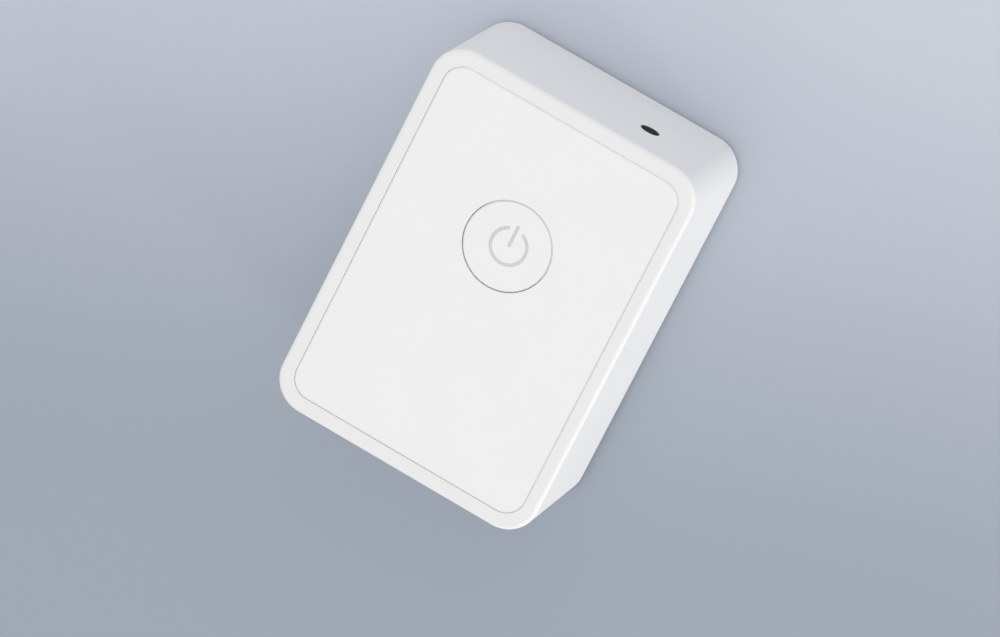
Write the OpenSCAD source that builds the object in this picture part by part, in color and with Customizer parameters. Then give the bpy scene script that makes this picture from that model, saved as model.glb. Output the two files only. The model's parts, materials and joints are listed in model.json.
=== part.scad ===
// A smart home hub: a small white box with a round power button in its front panel and a power
// inlet in its upper edge. It lies on its back on four rubber feet. X runs across the front,
// Y towards the edge with the inlet, and Z out of the front. The origin is under the middle
// of the box, on the plane that the feet stand on. All sizes are in millimetres.

/* [Body] */
// Width of the body, across the front
body_w = 60; // [58:0.5:66]
// Length of the body, up the front
body_l = 84.3; // [82:0.1:94]
// Depth of the body, from its rear to its front
body_d = 33.8; // [32.5:0.1:40]
// Radius of the four corners, seen from the front
corner_r = 7.2; // [6.6:0.1:7.8]
// Radius that rounds the front and rear edges
edge_r = 0.9; // [0.5:0.1:1]
// Thickness of the side walls
wall = 2.2; // [2:0.1:2.6]
// Thickness of the front wall beside the panel's recess
front_wall = 3; // [2.7:0.1:3.4]

/* [Front panel] */
// Bezel left beside the panel
bezel_x = 3.1; // [2.6:0.05:4]
// Bezel left above and below the panel
bezel_y = 3.3; // [2.4:0.05:4]
// Corner radius of the panel's recess
recess_r = 4.6; // [3:0.1:6]
// Thickness of the panel
panel_t = 1.2; // [0.9:0.1:1.4]
// Width of the groove between the panel and the bezel
panel_gap = 0.3; // [0.2:0.05:0.5]
// Depth of that groove, down to the panel's foot
groove_t = 0.3; // [0.2:0.05:0.6]
// Thickness of the adhesive film behind the panel
film_t = 0.2; // [0.1:0.05:0.3]

/* [Power button] */
// Diameter of the cap
cap_d = 18.3; // [16:0.1:19]
// Height of the cap's centre above the middle of the front
cap_y = 10.5; // [8:0.5:13]
// Gap between the cap and the panel
cap_gap = 0.32; // [0.2:0.02:0.5]
// How far the cap can be pressed
cap_travel = 0.4; // [0.2:0.05:0.5]
// Thickness of the cap's face
cap_t = 1.6; // [1.2:0.1:2]

/* [Standby symbol] */
// Radius of the symbol's ring, at the middle of its stroke
ring_r = 3.8; // [3:0.05:4.4]
// Width of the symbol's stroke
stroke = 0.57; // [0.4:0.01:0.8]
// Angle that the ring leaves open about its bar
ring_open = 48; // [36:2:70]
// Length of the symbol's bar, up from the ring's centre
bar_l = 4.7; // [3.8:0.1:5.2]
// Place of the ring's centre, to the right of the cap's
symbol_x = 0.25; // [0:0.05:0.4]
// Place of the ring's centre, above the cap's
symbol_y = 0.2; // [0:0.05:0.4]

/* [Power inlet] */
// Place of the inlet, to the right of the middle
inlet_x = 12.7; // [11:0.1:14]
// Depth of the inlet's centre behind the front
inlet_depth = 13.6; // [12.8:0.1:14.4]
// Diameter of the hole in the upper edge
inlet_d = 4.2; // [3.9:0.1:4.6]
// Length of the hole, where the wall is thinned for the jack
inlet_lip = 1.2; // [1:0.1:1.4]

/* [Boards] */
// Thickness of the main board
board_t = 1.6; // [1.2:0.1:2]
// Gap between the main board and the side walls
board_gap = 0.6; // [0.4:0.1:0.9]
// Space between the main board and the button board above it
board_space = 5.1; // [4.6:0.1:6]
// Thickness of the button board
button_board_t = 1.2; // [1:0.1:1.6]

/* [Backup battery] */
// Width of the battery
battery_w = 34; // [26:1:38]
// Space between the battery and the main board above it
battery_space = 4.4; // [3.5:0.1:6]
// Space that the battery leaves to the lower wall, for its leads and plug
battery_end_space = 15.95; // [15:0.05:20]

/* [Rear cover] */
// Thickness of the cover
cover_t = 2; // [1.8:0.1:2.4]
// Distance from each keyhole to the screw beside it, across the cover
keyhole_inset = 9.8; // [9:0.1:12]
// Diameter of the keyhole's round entry
keyhole_d = 6.6; // [6:0.1:7]
// Width of the keyhole's slot
keyhole_slot = 3.6; // [3:0.1:4.2]
// Diameter of the rubber feet
foot_d = 8; // [6:0.5:9]
// Height of the feet below the cover
foot_proud = 0.8; // [0.5:0.1:1.5]

/* [Hidden] */
$fn = 96;

// Every cut runs this far past the face that it opens, and every boss sinks as far into its wall
over = 0.5;
// Gap between two pieces that are pushed together
fit_gap = 0.05;

// Levels of the body, up from the plane that the feet stand on
rear_z = foot_proud;
front_z = rear_z + body_d;
inner_front_z = front_z - front_wall;
cover_top_z = rear_z + cover_t;

// Panel in its recess
recess_w = body_w - 2 * bezel_x;
recess_l = body_l - 2 * bezel_y;
panel_w = recess_w - 2 * panel_gap;
panel_l = recess_l - 2 * panel_gap;
panel_r = recess_r - panel_gap;
panel_low_z = front_z - panel_t;
recess_z = panel_low_z - film_t;
film_hole_extra = 0.6;

// Cap and the flange that keeps it in the front wall
cap_r = cap_d / 2;
cap_hole_r = cap_r + cap_gap;
wall_hole_r = cap_hole_r + fit_gap;
skirt_t = 1.15;
flange_w = 1.3;
flange_t = 0.9;
flange_gap = 0.1;
cap_edge = 0.25;
flange_r = cap_r + flange_w;
flange_top_z = inner_front_z - flange_gap;
flange_low_z = flange_top_z - flange_t;
cap_low_z = front_z - cap_t;

// Light guide: a disc under the cap that carries the symbol above and the stem below
guide_r = 6;
guide_t = 1;
guide_gap = 0.03;
guide_low_z = cap_low_z - guide_t;
stem_r = 1.5;
stem_gap = 0.1;

// Power jack, whose axis is the inlet's, and the main board that it stands on
inlet_z = front_z - inlet_depth;
inlet_r = inlet_d / 2;
jack_bore_step = 0.25;
jack_nose_t = 0.75;
jack_body_t = 0.1;
jack_bore_r = inlet_r - jack_bore_step;
jack_nose_r = jack_bore_r + jack_nose_t;
jack_axis_h = jack_nose_r + jack_body_t;
jack_w = 2 * jack_nose_r + 4 * jack_body_t;
jack_top_h = jack_axis_h + jack_nose_r;
board_z = inlet_z - jack_axis_h;
board_low_z = board_z - board_t;

// Button board, carried over the main board by two posts beside the cap
button_board_low_z = board_z + board_space;
button_board_z = button_board_low_z + button_board_t;
post_r = 2;
post_gap = 0.9;
post_rim = 1.2;
post_x = flange_r + post_gap + post_r;
button_board_w = 2 * (post_x + post_r + post_rim);
button_board_l = 24;
button_board_r = 2;

// Tact switch
switch_w = 6;
switch_h = 3.1;
plunger_r = 1.7;
plunger_proud = 0.8;
plunger_deep = 1.2;
switch_top_z = button_board_z + switch_h;
plunger_top_z = switch_top_z + plunger_proud;
plunger_low_z = switch_top_z - plunger_deep;
switch_well_z = plunger_low_z - cap_travel - fit_gap;
tact_lead_w = 0.7;
tact_lead_t = 0.2;
tact_lead_reach = 1;
tact_lead_rise = 0.8;
tact_lead_pitch = 4.5;

// Status lights round the switch
light_w = 1.6;
light_l = 1.2;
light_base_h = 0.4;
light_lens_h = 0.25;
light_lens_r = 0.5;
light_ring_r = 5.6;

// Return sleeve: a foot ring, a sloping web and an upper ring
sleeve_foot_out = flange_r + fit_gap;
sleeve_foot_in = cap_r - skirt_t / 4;
sleeve_foot_t = 0.8;
sleeve_top_in = cap_r - skirt_t;
sleeve_top_out = cap_r + fit_gap;
sleeve_top_t = 0.9;
sleeve_web_t = 0.6;

// Space inside the housing, and the main board's outline in it
inner_w = body_w - 2 * wall;
inner_l = body_l - 2 * wall;
inner_r = corner_r - wall;
board_w = inner_w - 2 * board_gap;
board_l = inner_l - 2 * board_gap;

// Corner bosses that the cover is screwed to, clear of the inner corner's round
boss_r = 2.9;
boss_in = 1;
cover_boss_r = 3.2;
cover_boss_h = 1.8;
cover_boss_gap = 0.3;
boss_inset = max(inner_r - boss_in, cover_boss_r + cover_boss_gap);
boss_x = inner_w / 2 - boss_inset;
boss_y = inner_l / 2 - boss_inset;
boss_low_z = cover_top_z + cover_boss_h;
rib_t = 1;
notch_gap = 0.5;
notch_x = boss_x - boss_r - notch_gap;
notch_y = boss_y - boss_r - notch_gap;

// Bosses that the main board is screwed to
board_boss_r = 2.2;
board_boss_inset = 4.6;
board_boss_x = inner_w / 2 - board_boss_inset;
board_boss_y_share = 0.28;
board_boss_y = board_boss_y_share * board_l;

// Screws: shank, head and the cross in the head
screw_r = 1.25;
screw_l = 11;
screw_head_r = 2.2;
screw_head_h = 1.5;
screw_seat_t = 1.5;
small_screw_r = 0.9;
small_screw_l = 6;
small_head_r = 1.8;
small_head_h = 1.2;
board_hole_r = small_screw_r + 0.2 * small_screw_r;
cross_share = 0.6;
cross_w_share = 0.22;
cross_deep_share = 0.55;

// Length of the power jack, its nose in a channel of the wall, and its contacts
jack_l = 9.4;
jack_bore_l = 8.2;
jack_nose_gap = 0.15;
jack_face_y = inner_l / 2 - fit_gap;
jack_nose_y = body_l / 2 - inlet_lip - fit_gap;
jack_pin_r = 0.6;
jack_pin_short = 1.4;
jack_tail_w = 1.2;
jack_tail_t = 0.4;
jack_tail_gap = 0.1;
jack_contact_w = 1.4;
jack_contact_t = 0.25;
jack_contact_l = 5;
jack_slot_h = 0.8;

// Link between the two boards
link_pitch = 2;
link_pins_n = 5;
link_w = link_pins_n * link_pitch;
link_d = 2.2;
link_header_h = 1.5;
link_pin_w = 0.5;
link_hole_w = 0.6;
link_drop = 8.6;
link_y = cap_y - link_drop;
link_socket_z = button_board_low_z - link_header_h - fit_gap;
link_pin_z = board_z + link_pin_w;

// Parts on the main board, with places as shares of the board from its middle
module_t = 0.8;
module_w = 12.6;
module_l = 18;
shield_w = 11.8;
shield_l = 12;
shield_h = 2;
shield_t = 0.25;
network_at_share = [-0.235, 0.345];
device_y_share = 0.13;
device_gap = 2.3;
device_x = link_w / 2 + device_gap + module_w / 2;
processor_w = 12;
processor_h = 1.2;
processor_at_share = [0, -0.14];
memory_w = 8;
memory_l = 10;
memory_h = 1;
memory_at_share = [[-0.26, -0.14], [-0.26, 0.02]];
capacitor_r = 3.15;
capacitor_top_gap = 0.6;
capacitor_h = board_space - capacitor_top_gap;
capacitor_base_h = 0.8;
capacitor_at_share = [0.02, 0.43];
capacitor_pitch = 7.4;
inductor_w = 6;
inductor_h = 2.8;
inductor_r = 1.2;
inductor_gap = 1.4;
inductor_below = capacitor_pitch + capacitor_r + inductor_gap + inductor_w / 2;
crystal_w = 3.2;
crystal_l = 2.5;
crystal_h = 0.8;
crystal_at_share = [0.18, -0.11];
chip_w = 1.6;
chip_l = 0.8;
chip_h = 0.5;
chip_rows = 3;
chip_pitch = 2.6;
chip_gap = 1.4;
chip_x = processor_w / 2 + chip_gap + chip_w / 2;
chip_y_share = -0.21;
// as many columns as the room between the processor and the board's boss takes
chip_columns = floor((board_boss_x - board_boss_r - chip_x) / chip_pitch);
antenna_w = 26;
antenna_l = 5;
antenna_t = 0.3;
antenna_h = 5;
antenna_leg_w = 1.4;
antenna_at_share = [-0.02, -0.4];

// Keyholes in the rear cover, and the guards over them
head_gap = 0.3;
keyhole_r = keyhole_d / 2;
keyhole_slide = 5;
guard_h = 3.2;
guard_wall = 0.8;
guard_room = 0.4;
guard_in_r = keyhole_r + guard_room;
guard_out_r = guard_in_r + guard_wall;
keyhole_x = boss_x - keyhole_inset;
keyhole_y = inner_l / 2 - head_gap - guard_out_r - keyhole_slide;

// Battery under the main board, in a tray of ribs between the guards and its plug
tray_gap = 0.3;
tray_t = 1.2;
tray_h = 3.5;
tray_arm = 7;
tray_guard_gap = 0.15;
battery_high_y = keyhole_y - guard_out_r - tray_guard_gap - tray_t - tray_gap;
battery_low_y = battery_end_space - inner_l / 2;
battery_l = battery_high_y - battery_low_y;
battery_y = (battery_high_y + battery_low_y) / 2;
foam_t = 0.5;
battery_z = cover_top_z + foam_t;
battery_top_z = board_low_z - battery_space;
battery_t = battery_top_z - battery_z;
battery_r_share = 0.2;
foam_w_share = 0.85;
foam_l_share = 0.85;
top_foam_w = 20;
top_foam_l = 14;
cell_board_t = 1;
cell_board_w_share = 0.8;
cell_board_h_share = 0.5;
lead_r = 0.5;
lead_bend = 1.5;
lead_rise = 1.4;
lead_pitch = 2;
lead_z = battery_z + battery_t / 2;
battery_plug_x = 8;
battery_plug_reach = 7.9;
battery_plug_y = battery_low_y - battery_plug_reach;
plug_w = 4.8;
plug_d = 3.2;
socket_t = 0.7;
socket_h = 4;
socket_floor = 0.8;
plug_top_z = board_low_z - socket_floor;
plug_low_z = lead_z + lead_bend + lead_rise;

// Rear cover
lip_t = wall / 2;
cover_gap = 0.1;
cover_w = body_w - 2 * (lip_t + cover_gap);
cover_l = body_l - 2 * (lip_t + cover_gap);
cover_r = corner_r - lip_t - cover_gap;
vent_n = 7;
vent_pitch = 3;
vent_w = 1.3;
vent_l = 7;
vent_y_share = -0.385;
label_w = 34;
label_l = 22;
label_deep = 0.3;
foot_r = foot_d / 2;
foot_sink = 0.8;
foot_inset = 2.08;
foot_x = cover_w / 2 - foot_r - foot_inset;
foot_y_share = 0.315;
foot_y = foot_y_share * cover_l;
foot_edge = 0.3;

// Helpers

// Draws its children at the four places (x, y), (-x, y), (x, -y) and (-x, -y)
module four(x, y) {
    for (sx = [-1, 1], sy = [-1, 1]) translate([sx * x, sy * y, 0]) children();
}

// Draws its children at the places that a list gives as shares of the board
module at_shares(list) {
    for (share = list) translate([share[0] * board_w, share[1] * board_l, 0]) children();
}

// Upright cylinder between two levels
module rod(x, y, r, low, high) {
    translate([x, y, low]) cylinder(h = high - low, r = r);
}

// Upright box about (x, y) between two levels
module block(x, y, w, l, low, high) {
    translate([x - w / 2, y - l / 2, low]) cube([w, l, high - low]);
}

// Cylinder that lies along Y, from y_low to y_high
module lying_rod(x, z, r, y_low, y_high) {
    translate([x, y_high, z]) rotate([90, 0, 0]) cylinder(h = y_high - y_low, r = r);
}

// Rectangle with round corners about the origin
module round_rect(w, l, r) {
    square([w - 2 * r, l], center = true);
    square([w, l - 2 * r], center = true);
    for (sx = [-1, 1], sy = [-1, 1])
        translate([sx * (w / 2 - r), sy * (l / 2 - r)]) circle(r);
}

// Plate with round corners between two levels
module plate(w, l, r, low, high) {
    translate([0, 0, low]) linear_extrude(high - low) round_rect(w, l, r);
}

// Section of the body's rim: reach out from the corner's centre, with both outer edges rounded
module rim_section(reach, height, r) {
    translate([0, r]) square([reach, height - 2 * r]);
    square([reach - r, height]);
    for (y = [r, height - r]) translate([reach - r, y]) circle(r);
}

// Block with round corners of radius r and rounded edges of radius e, on the plane Z = 0
module rounded_block(w, l, h, r, e) {
    block(0, 0, w - 2 * r, l - 2 * r, 0, h);
    for (sx = [0, 1], sy = [0, 1]) mirror([sx, 0, 0]) mirror([0, sy, 0])
        translate([w / 2 - r, l / 2 - r, 0]) rotate_extrude(angle = 90) rim_section(r, h, e);
    for (s = [0, 1]) mirror([s, 0, 0]) translate([w / 2 - r, l / 2 - r, 0])
        rotate([90, 0, 0]) linear_extrude(l - 2 * r) rim_section(r, h, e);
    for (s = [0, 1]) mirror([0, s, 0]) translate([r - w / 2, l / 2 - r, 0])
        rotate([90, 0, 90]) linear_extrude(w - 2 * r) rim_section(r, h, e);
}

// Screw with its head down at the level seat and its shank up, with a cross in the head
module screw(r, length, head_r, head_h, seat) {
    difference() {
        union() {
            rod(0, 0, head_r, seat - head_h, seat);
            rod(0, 0, r, seat - head_h / 2, seat + length);
        }
        for (turn = [0, 90]) rotate(turn)
            block(0, 0, 2 * cross_share * head_r, 2 * cross_w_share * head_r,
                seat - head_h - over, seat - head_h + cross_deep_share * head_h);
    }
}

// Housing

// Boss that hangs from the front wall, with a rib to the side wall and its pilot hole
module hanging_boss(r, hole_r, low, deep) {
    difference() {
        children();
        rod(0, 0, hole_r, low - over, low + deep);
    }
}

module corner_boss(sx, sy) {
    translate([sx * boss_x, sy * boss_y, 0])
        hanging_boss(boss_r, screw_r + fit_gap, boss_low_z, screw_l) {
            rod(0, 0, boss_r, boss_low_z, inner_front_z + over);
            block(sx * (boss_inset + over) / 2, 0, boss_inset + over, rib_t,
                boss_low_z, inner_front_z + over);
            block(0, sy * (boss_inset + over) / 2, rib_t, boss_inset + over,
                boss_low_z, inner_front_z + over);
        }
}

module board_boss(sx, sy) {
    translate([sx * board_boss_x, sy * board_boss_y, 0])
        hanging_boss(board_boss_r, small_screw_r + fit_gap, board_z, small_screw_l) {
            rod(0, 0, board_boss_r, board_z, inner_front_z + over);
            block(sx * (board_boss_inset + over) / 2, 0, board_boss_inset + over, rib_t,
                board_z, inner_front_z + over);
        }
}

module button_post(sx) {
    translate([sx * post_x, cap_y, 0])
        hanging_boss(post_r, small_screw_r + fit_gap, button_board_z, small_screw_l)
            rod(0, 0, post_r, button_board_z, inner_front_z + over);
}

module housing() color("white") {
    difference() {
        translate([0, 0, rear_z]) rounded_block(body_w, body_l, body_d, corner_r, edge_r);
        plate(inner_w, inner_l, inner_r, rear_z - over, inner_front_z);
        // rebate that the rear cover lies in
        plate(body_w - 2 * lip_t, body_l - 2 * lip_t, corner_r - lip_t,
            rear_z - over, cover_top_z);
        // recess of the front panel, and the hole for the cap
        plate(recess_w, recess_l, recess_r, recess_z, front_z + over);
        rod(0, cap_y, wall_hole_r, inner_front_z - over, recess_z + over);
        // hole for the plug, and the channel that the jack's nose slides up
        lying_rod(inlet_x, inlet_z, inlet_r, inner_l / 2 - over, body_l / 2 + over);
        lying_rod(inlet_x, inlet_z, jack_nose_r + jack_nose_gap,
            inner_l / 2 - over, body_l / 2 - inlet_lip);
        translate([inlet_x - jack_nose_r - jack_nose_gap, inner_l / 2 - over, cover_top_z - over])
            cube([2 * (jack_nose_r + jack_nose_gap), wall - inlet_lip + over,
                inlet_z - cover_top_z + over]);
    }
    for (sx = [-1, 1], sy = [-1, 1]) {
        corner_boss(sx, sy);
        board_boss(sx, sy);
    }
    for (sx = [-1, 1]) button_post(sx);
}

// Front panel

module front_panel() color("whitesmoke") difference() {
    union() {
        plate(panel_w, panel_l, panel_r, panel_low_z, front_z);
        // foot that closes the groove
        plate(recess_w - 2 * fit_gap, recess_l - 2 * fit_gap, recess_r - fit_gap,
            panel_low_z, front_z - groove_t);
    }
    rod(0, cap_y, cap_hole_r, panel_low_z - over, front_z + over);
}

module panel_film() color("gray") difference() {
    plate(panel_w, panel_l, panel_r, recess_z, panel_low_z);
    rod(0, cap_y, cap_hole_r + film_hole_extra, recess_z - over, panel_low_z + over);
}

// Power button

// The standby symbol as a flat shape, grown on all sides by the value grow
module symbol_shape(grow) translate([symbol_x, symbol_y]) {
    half = ring_open / 2;
    reach = 2 * ring_r;
    difference() {
        circle(ring_r + stroke / 2 + grow);
        circle(ring_r - stroke / 2 - grow);
        translate([0, grow / sin(half)])
            polygon([[0, 0], [reach * sin(half), reach * cos(half)],
                [-reach * sin(half), reach * cos(half)]]);
    }
    translate([-stroke / 2 - grow, -grow]) square([stroke + 2 * grow, bar_l + 2 * grow]);
}

module power_button() color("white") translate([0, cap_y, 0]) difference() {
    rotate_extrude() polygon([
        [0, cap_low_z], [cap_r - skirt_t, cap_low_z], [cap_r - skirt_t, flange_low_z],
        [flange_r, flange_low_z], [flange_r, flange_top_z], [cap_r, flange_top_z],
        [cap_r, front_z - cap_edge], [cap_r - cap_edge, front_z], [0, front_z]
    ]);
    translate([0, 0, cap_low_z - over]) linear_extrude(cap_t + 2 * over) symbol_shape(guide_gap);
}

module symbol_light_guide() color("silver") translate([0, cap_y, 0]) {
    rod(0, 0, guide_r, guide_low_z, cap_low_z);
    rod(0, 0, stem_r, plunger_top_z + stem_gap, guide_low_z + guide_t / 2);
    translate([0, 0, cap_low_z - guide_t / 2])
        linear_extrude(cap_t + guide_t / 2) symbol_shape(0);
}

module button_return_sleeve() color("lightgray") translate([0, cap_y, 0])
    rotate_extrude() polygon([
        [sleeve_foot_in, button_board_z], [sleeve_foot_out, button_board_z],
        [sleeve_foot_out, button_board_z + sleeve_foot_t],
        [sleeve_foot_in + sleeve_web_t, button_board_z + sleeve_foot_t],
        [sleeve_top_in + sleeve_web_t, flange_low_z - sleeve_top_t],
        [sleeve_top_out, flange_low_z - sleeve_top_t], [sleeve_top_out, flange_low_z],
        [sleeve_top_in, flange_low_z], [sleeve_top_in, flange_low_z - sleeve_top_t],
        [sleeve_foot_in, button_board_z + sleeve_foot_t]
    ]);

// Button board and what it carries

module button_board() color("darkgreen") difference() {
    translate([0, cap_y, 0])
        plate(button_board_w, button_board_l, button_board_r, button_board_low_z, button_board_z);
    for (sx = [-1, 1])
        rod(sx * post_x, cap_y, board_hole_r, button_board_low_z - over, button_board_z + over);
}

module button_board_screws() color("silver") for (sx = [-1, 1])
    translate([sx * post_x, cap_y, 0])
        screw(small_screw_r, small_screw_l, small_head_r, small_head_h, button_board_low_z);

module tact_switch() color("dimgray") difference() {
    block(0, cap_y, switch_w, switch_w, button_board_z, switch_top_z);
    rod(0, cap_y, plunger_r + fit_gap, switch_well_z, switch_top_z + over);
}

module tact_plunger() color("black") rod(0, cap_y, plunger_r, plunger_low_z, plunger_top_z);

// One lead: it leaves the switch's side, and turns down to its foot on the board
module tact_lead() {
    translate([switch_w / 2, -tact_lead_w / 2, button_board_z]) {
        translate([0, 0, tact_lead_rise - tact_lead_t])
            cube([tact_lead_reach / 2, tact_lead_w, tact_lead_t]);
        translate([tact_lead_reach / 2 - tact_lead_t, 0, 0])
            cube([tact_lead_t, tact_lead_w, tact_lead_rise]);
        translate([tact_lead_reach / 2 - tact_lead_t, 0, 0])
            cube([tact_lead_reach, tact_lead_w, tact_lead_t]);
    }
}

module tact_leads() color("gainsboro") translate([0, cap_y, 0])
    for (s = [0, 1], y = [-1, 1]) mirror([s, 0, 0])
        translate([0, y * tact_lead_pitch / 2, 0]) tact_lead();

module status_lights() color("lightyellow") translate([0, cap_y, 0])
    for (turn = [0, 90, 180, 270]) rotate(turn) {
        block(light_ring_r, 0, light_l, light_w, button_board_z, button_board_z + light_base_h);
        rod(light_ring_r, 0, light_lens_r, button_board_z + light_base_h / 2,
            button_board_z + light_base_h + light_lens_h);
    }

// One square post at each of the link's places, of width w, between two levels
module link_row(w, low, high) {
    for (i = [0 : link_pins_n - 1])
        block((i - (link_pins_n - 1) / 2) * link_pitch, link_y, w, w, low, high);
}

module link_header() color("black") difference() {
    block(0, link_y, link_w, link_d, button_board_low_z - link_header_h, button_board_low_z);
    link_row(link_pin_w, button_board_low_z - link_header_h - over, button_board_low_z + over);
}

module link_pins() color("gold") link_row(link_pin_w, link_pin_z, button_board_low_z);

module link_socket() color("black") difference() {
    block(0, link_y, link_w, link_d, board_z, link_socket_z);
    link_row(link_hole_w, link_pin_z - fit_gap, link_socket_z + over);
}

// Main board

// Places of the slots for the tails of the jack's contacts, back from the jack's face
jack_pin_tail_y = jack_face_y - jack_l + jack_tail_w;
jack_contact_tail_y = jack_face_y - jack_l / 2;

module main_board() color("darkgreen") difference() {
    block(0, 0, board_w, board_l, board_low_z, board_z);
    // notches round the corner bosses
    for (sx = [0, 1], sy = [0, 1]) mirror([sx, 0, 0]) mirror([0, sy, 0])
        translate([notch_x, notch_y, board_low_z - over])
            cube([board_w, board_l, board_t + 2 * over]);
    four(board_boss_x, board_boss_y) rod(0, 0, board_hole_r, board_low_z - over, board_z + over);
    for (y = [jack_pin_tail_y, jack_contact_tail_y])
        block(inlet_x, y, jack_tail_w + 2 * jack_tail_gap, jack_tail_t + 2 * jack_tail_gap,
            board_low_z - over, board_z + over);
}

module main_board_screws() color("silver") four(board_boss_x, board_boss_y)
    screw(small_screw_r, small_screw_l, small_head_r, small_head_h, board_low_z);

module power_jack() color("black") difference() {
    union() {
        block(inlet_x, jack_face_y - jack_l / 2, jack_w, jack_l, board_z, board_z + jack_top_h);
        lying_rod(inlet_x, inlet_z, jack_nose_r, jack_face_y - jack_l / 2, jack_nose_y);
    }
    lying_rod(inlet_x, inlet_z, jack_bore_r, jack_nose_y - jack_bore_l, jack_nose_y + over);
    // seats of the centre pin, of the contact in the floor, and of their tails
    lying_rod(inlet_x, inlet_z, jack_pin_r, jack_face_y - jack_l - over, jack_nose_y);
    block(inlet_x, jack_pin_tail_y, jack_tail_w, jack_tail_t, board_z - over, inlet_z);
    block(inlet_x, jack_contact_tail_y, jack_contact_w, jack_contact_l,
        inlet_z - jack_bore_r - jack_slot_h, inlet_z);
    block(inlet_x, jack_contact_tail_y, jack_tail_w, jack_tail_t, board_z - over, inlet_z);
}

module jack_centre_pin() color("silver") {
    lying_rod(inlet_x, inlet_z, jack_pin_r, jack_face_y - jack_l, jack_nose_y - jack_pin_short);
    block(inlet_x, jack_pin_tail_y, jack_tail_w, jack_tail_t, board_low_z - jack_tail_t, inlet_z);
}

module jack_sleeve_contact() color("gainsboro") {
    low = inlet_z - jack_bore_r - jack_slot_h;
    block(inlet_x, jack_contact_tail_y, jack_contact_w, jack_contact_l,
        low, low + jack_contact_t);
    block(inlet_x, jack_contact_tail_y, jack_tail_w, jack_tail_t, board_low_z - jack_tail_t,
        low + jack_contact_t);
    // the tip that bears on the plug
    block(inlet_x, jack_contact_tail_y + jack_contact_l / 2 - jack_contact_t,
        jack_contact_w, 2 * jack_contact_t, low, low + jack_slot_h);
}

// Radio module: a small board
module radio_board() {
    block(0, 0, module_w, module_l, board_z, board_z + module_t);
}

// Shield of a radio module: a thin can, open below
module radio_can() {
    low = board_z + module_t;
    translate([0, (shield_l - module_l) / 2 + module_t, 0]) difference() {
        block(0, 0, shield_w, shield_l, low, low + shield_h);
        block(0, 0, shield_w - 2 * shield_t, shield_l - 2 * shield_t,
            low - over, low + shield_h - shield_t);
    }
}

module network_module() color("navy") at_shares([network_at_share]) radio_board();

module network_shield() color("silver") at_shares([network_at_share]) radio_can();

module device_module() color("navy")
    translate([device_x, device_y_share * board_l, 0]) radio_board();

module device_shield() color("silver")
    translate([device_x, device_y_share * board_l, 0]) radio_can();

module main_processor() color("black") at_shares([processor_at_share])
    block(0, 0, processor_w, processor_w, board_z, board_z + processor_h);

module memory_chips() color("black") at_shares(memory_at_share)
    block(0, 0, memory_w, memory_l, board_z, board_z + memory_h);

module power_inductor() color("dimgray") at_shares([capacitor_at_share])
    translate([0, -inductor_below, 0])
        plate(inductor_w, inductor_w, inductor_r, board_z, board_z + inductor_h);

module capacitors() color("silver") at_shares([capacitor_at_share])
    for (i = [0, 1]) translate([0, -i * capacitor_pitch, 0]) {
        block(0, 0, 2 * capacitor_r, 2 * capacitor_r, board_z, board_z + capacitor_base_h);
        rod(0, 0, capacitor_r, board_z + capacitor_base_h / 2, board_z + capacitor_h);
    }

module crystal() color("silver") at_shares([crystal_at_share])
    block(0, 0, crystal_w, crystal_l, board_z, board_z + crystal_h);

module chip_parts() color("tan") translate([chip_x, chip_y_share * board_l, 0])
    for (i = [0 : chip_columns - 1], j = [0 : chip_rows - 1])
        block(i * chip_pitch, (j - (chip_rows - 1) / 2) * chip_pitch,
            chip_w, chip_l, board_z, board_z + chip_h);

module antenna() color("gold") at_shares([antenna_at_share]) {
    block(0, 0, antenna_w, antenna_l, board_z + antenna_h - antenna_t, board_z + antenna_h);
    for (x = [-antenna_w / 2 + antenna_leg_w / 2, -antenna_w / 4, antenna_w / 2 - antenna_leg_w / 2])
        block(x, (antenna_t - antenna_l) / 2, antenna_leg_w, antenna_t,
            board_z, board_z + antenna_h);
}

// Backup battery

module battery_socket() color("ivory") difference() {
    block(battery_plug_x, battery_plug_y, plug_w + 2 * (socket_t + fit_gap),
        plug_d + 2 * (socket_t + fit_gap), board_low_z - socket_h, board_low_z);
    block(battery_plug_x, battery_plug_y, plug_w + 2 * fit_gap, plug_d + 2 * fit_gap,
        board_low_z - socket_h - over, plug_top_z);
}

module battery_plug() color("ivory")
    block(battery_plug_x, battery_plug_y, plug_w, plug_d, plug_low_z, plug_top_z);

// One lead: from the guard board along Y, then up into the plug
module battery_lead(side) {
    x = battery_plug_x + side * lead_pitch / 2;
    lying_rod(x, lead_z, lead_r, battery_plug_y + lead_bend, battery_low_y - cell_board_t);
    translate([x, battery_plug_y + lead_bend, lead_z + lead_bend])
        rotate([-90, 0, 0]) rotate([0, 90, 0])
            rotate_extrude(angle = 90) translate([lead_bend, 0]) circle(lead_r);
    rod(x, battery_plug_y, lead_r, lead_z + lead_bend, plug_low_z);
}

module battery_lead_red() color("red") battery_lead(-1);

module battery_lead_black() color("black") battery_lead(1);

module backup_battery() color("lightsteelblue")
    translate([0, battery_low_y, lead_z]) rotate([-90, 0, 0])
        linear_extrude(battery_l) round_rect(battery_w, battery_t, battery_r_share * battery_t);

module battery_guard_board() color("darkgreen")
    block(0, battery_low_y - cell_board_t / 2, cell_board_w_share * battery_w, cell_board_t,
        lead_z - cell_board_h_share * battery_t / 2, lead_z + cell_board_h_share * battery_t / 2);

module battery_foam() color("dimgray")
    block(0, battery_y, foam_w_share * battery_w, foam_l_share * battery_l,
        cover_top_z, battery_z);

module battery_top_foam() color("dimgray")
    block(0, battery_y, top_foam_w, top_foam_l, battery_top_z, board_low_z);

// Rear cover

// Keyhole as a flat shape: a round entry, and a slot of width w up to its round end
module keyhole_shape(entry_r, w) {
    circle(entry_r);
    translate([-w / 2, 0]) square([w, keyhole_slide]);
    translate([0, keyhole_slide]) circle(w / 2);
}

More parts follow.
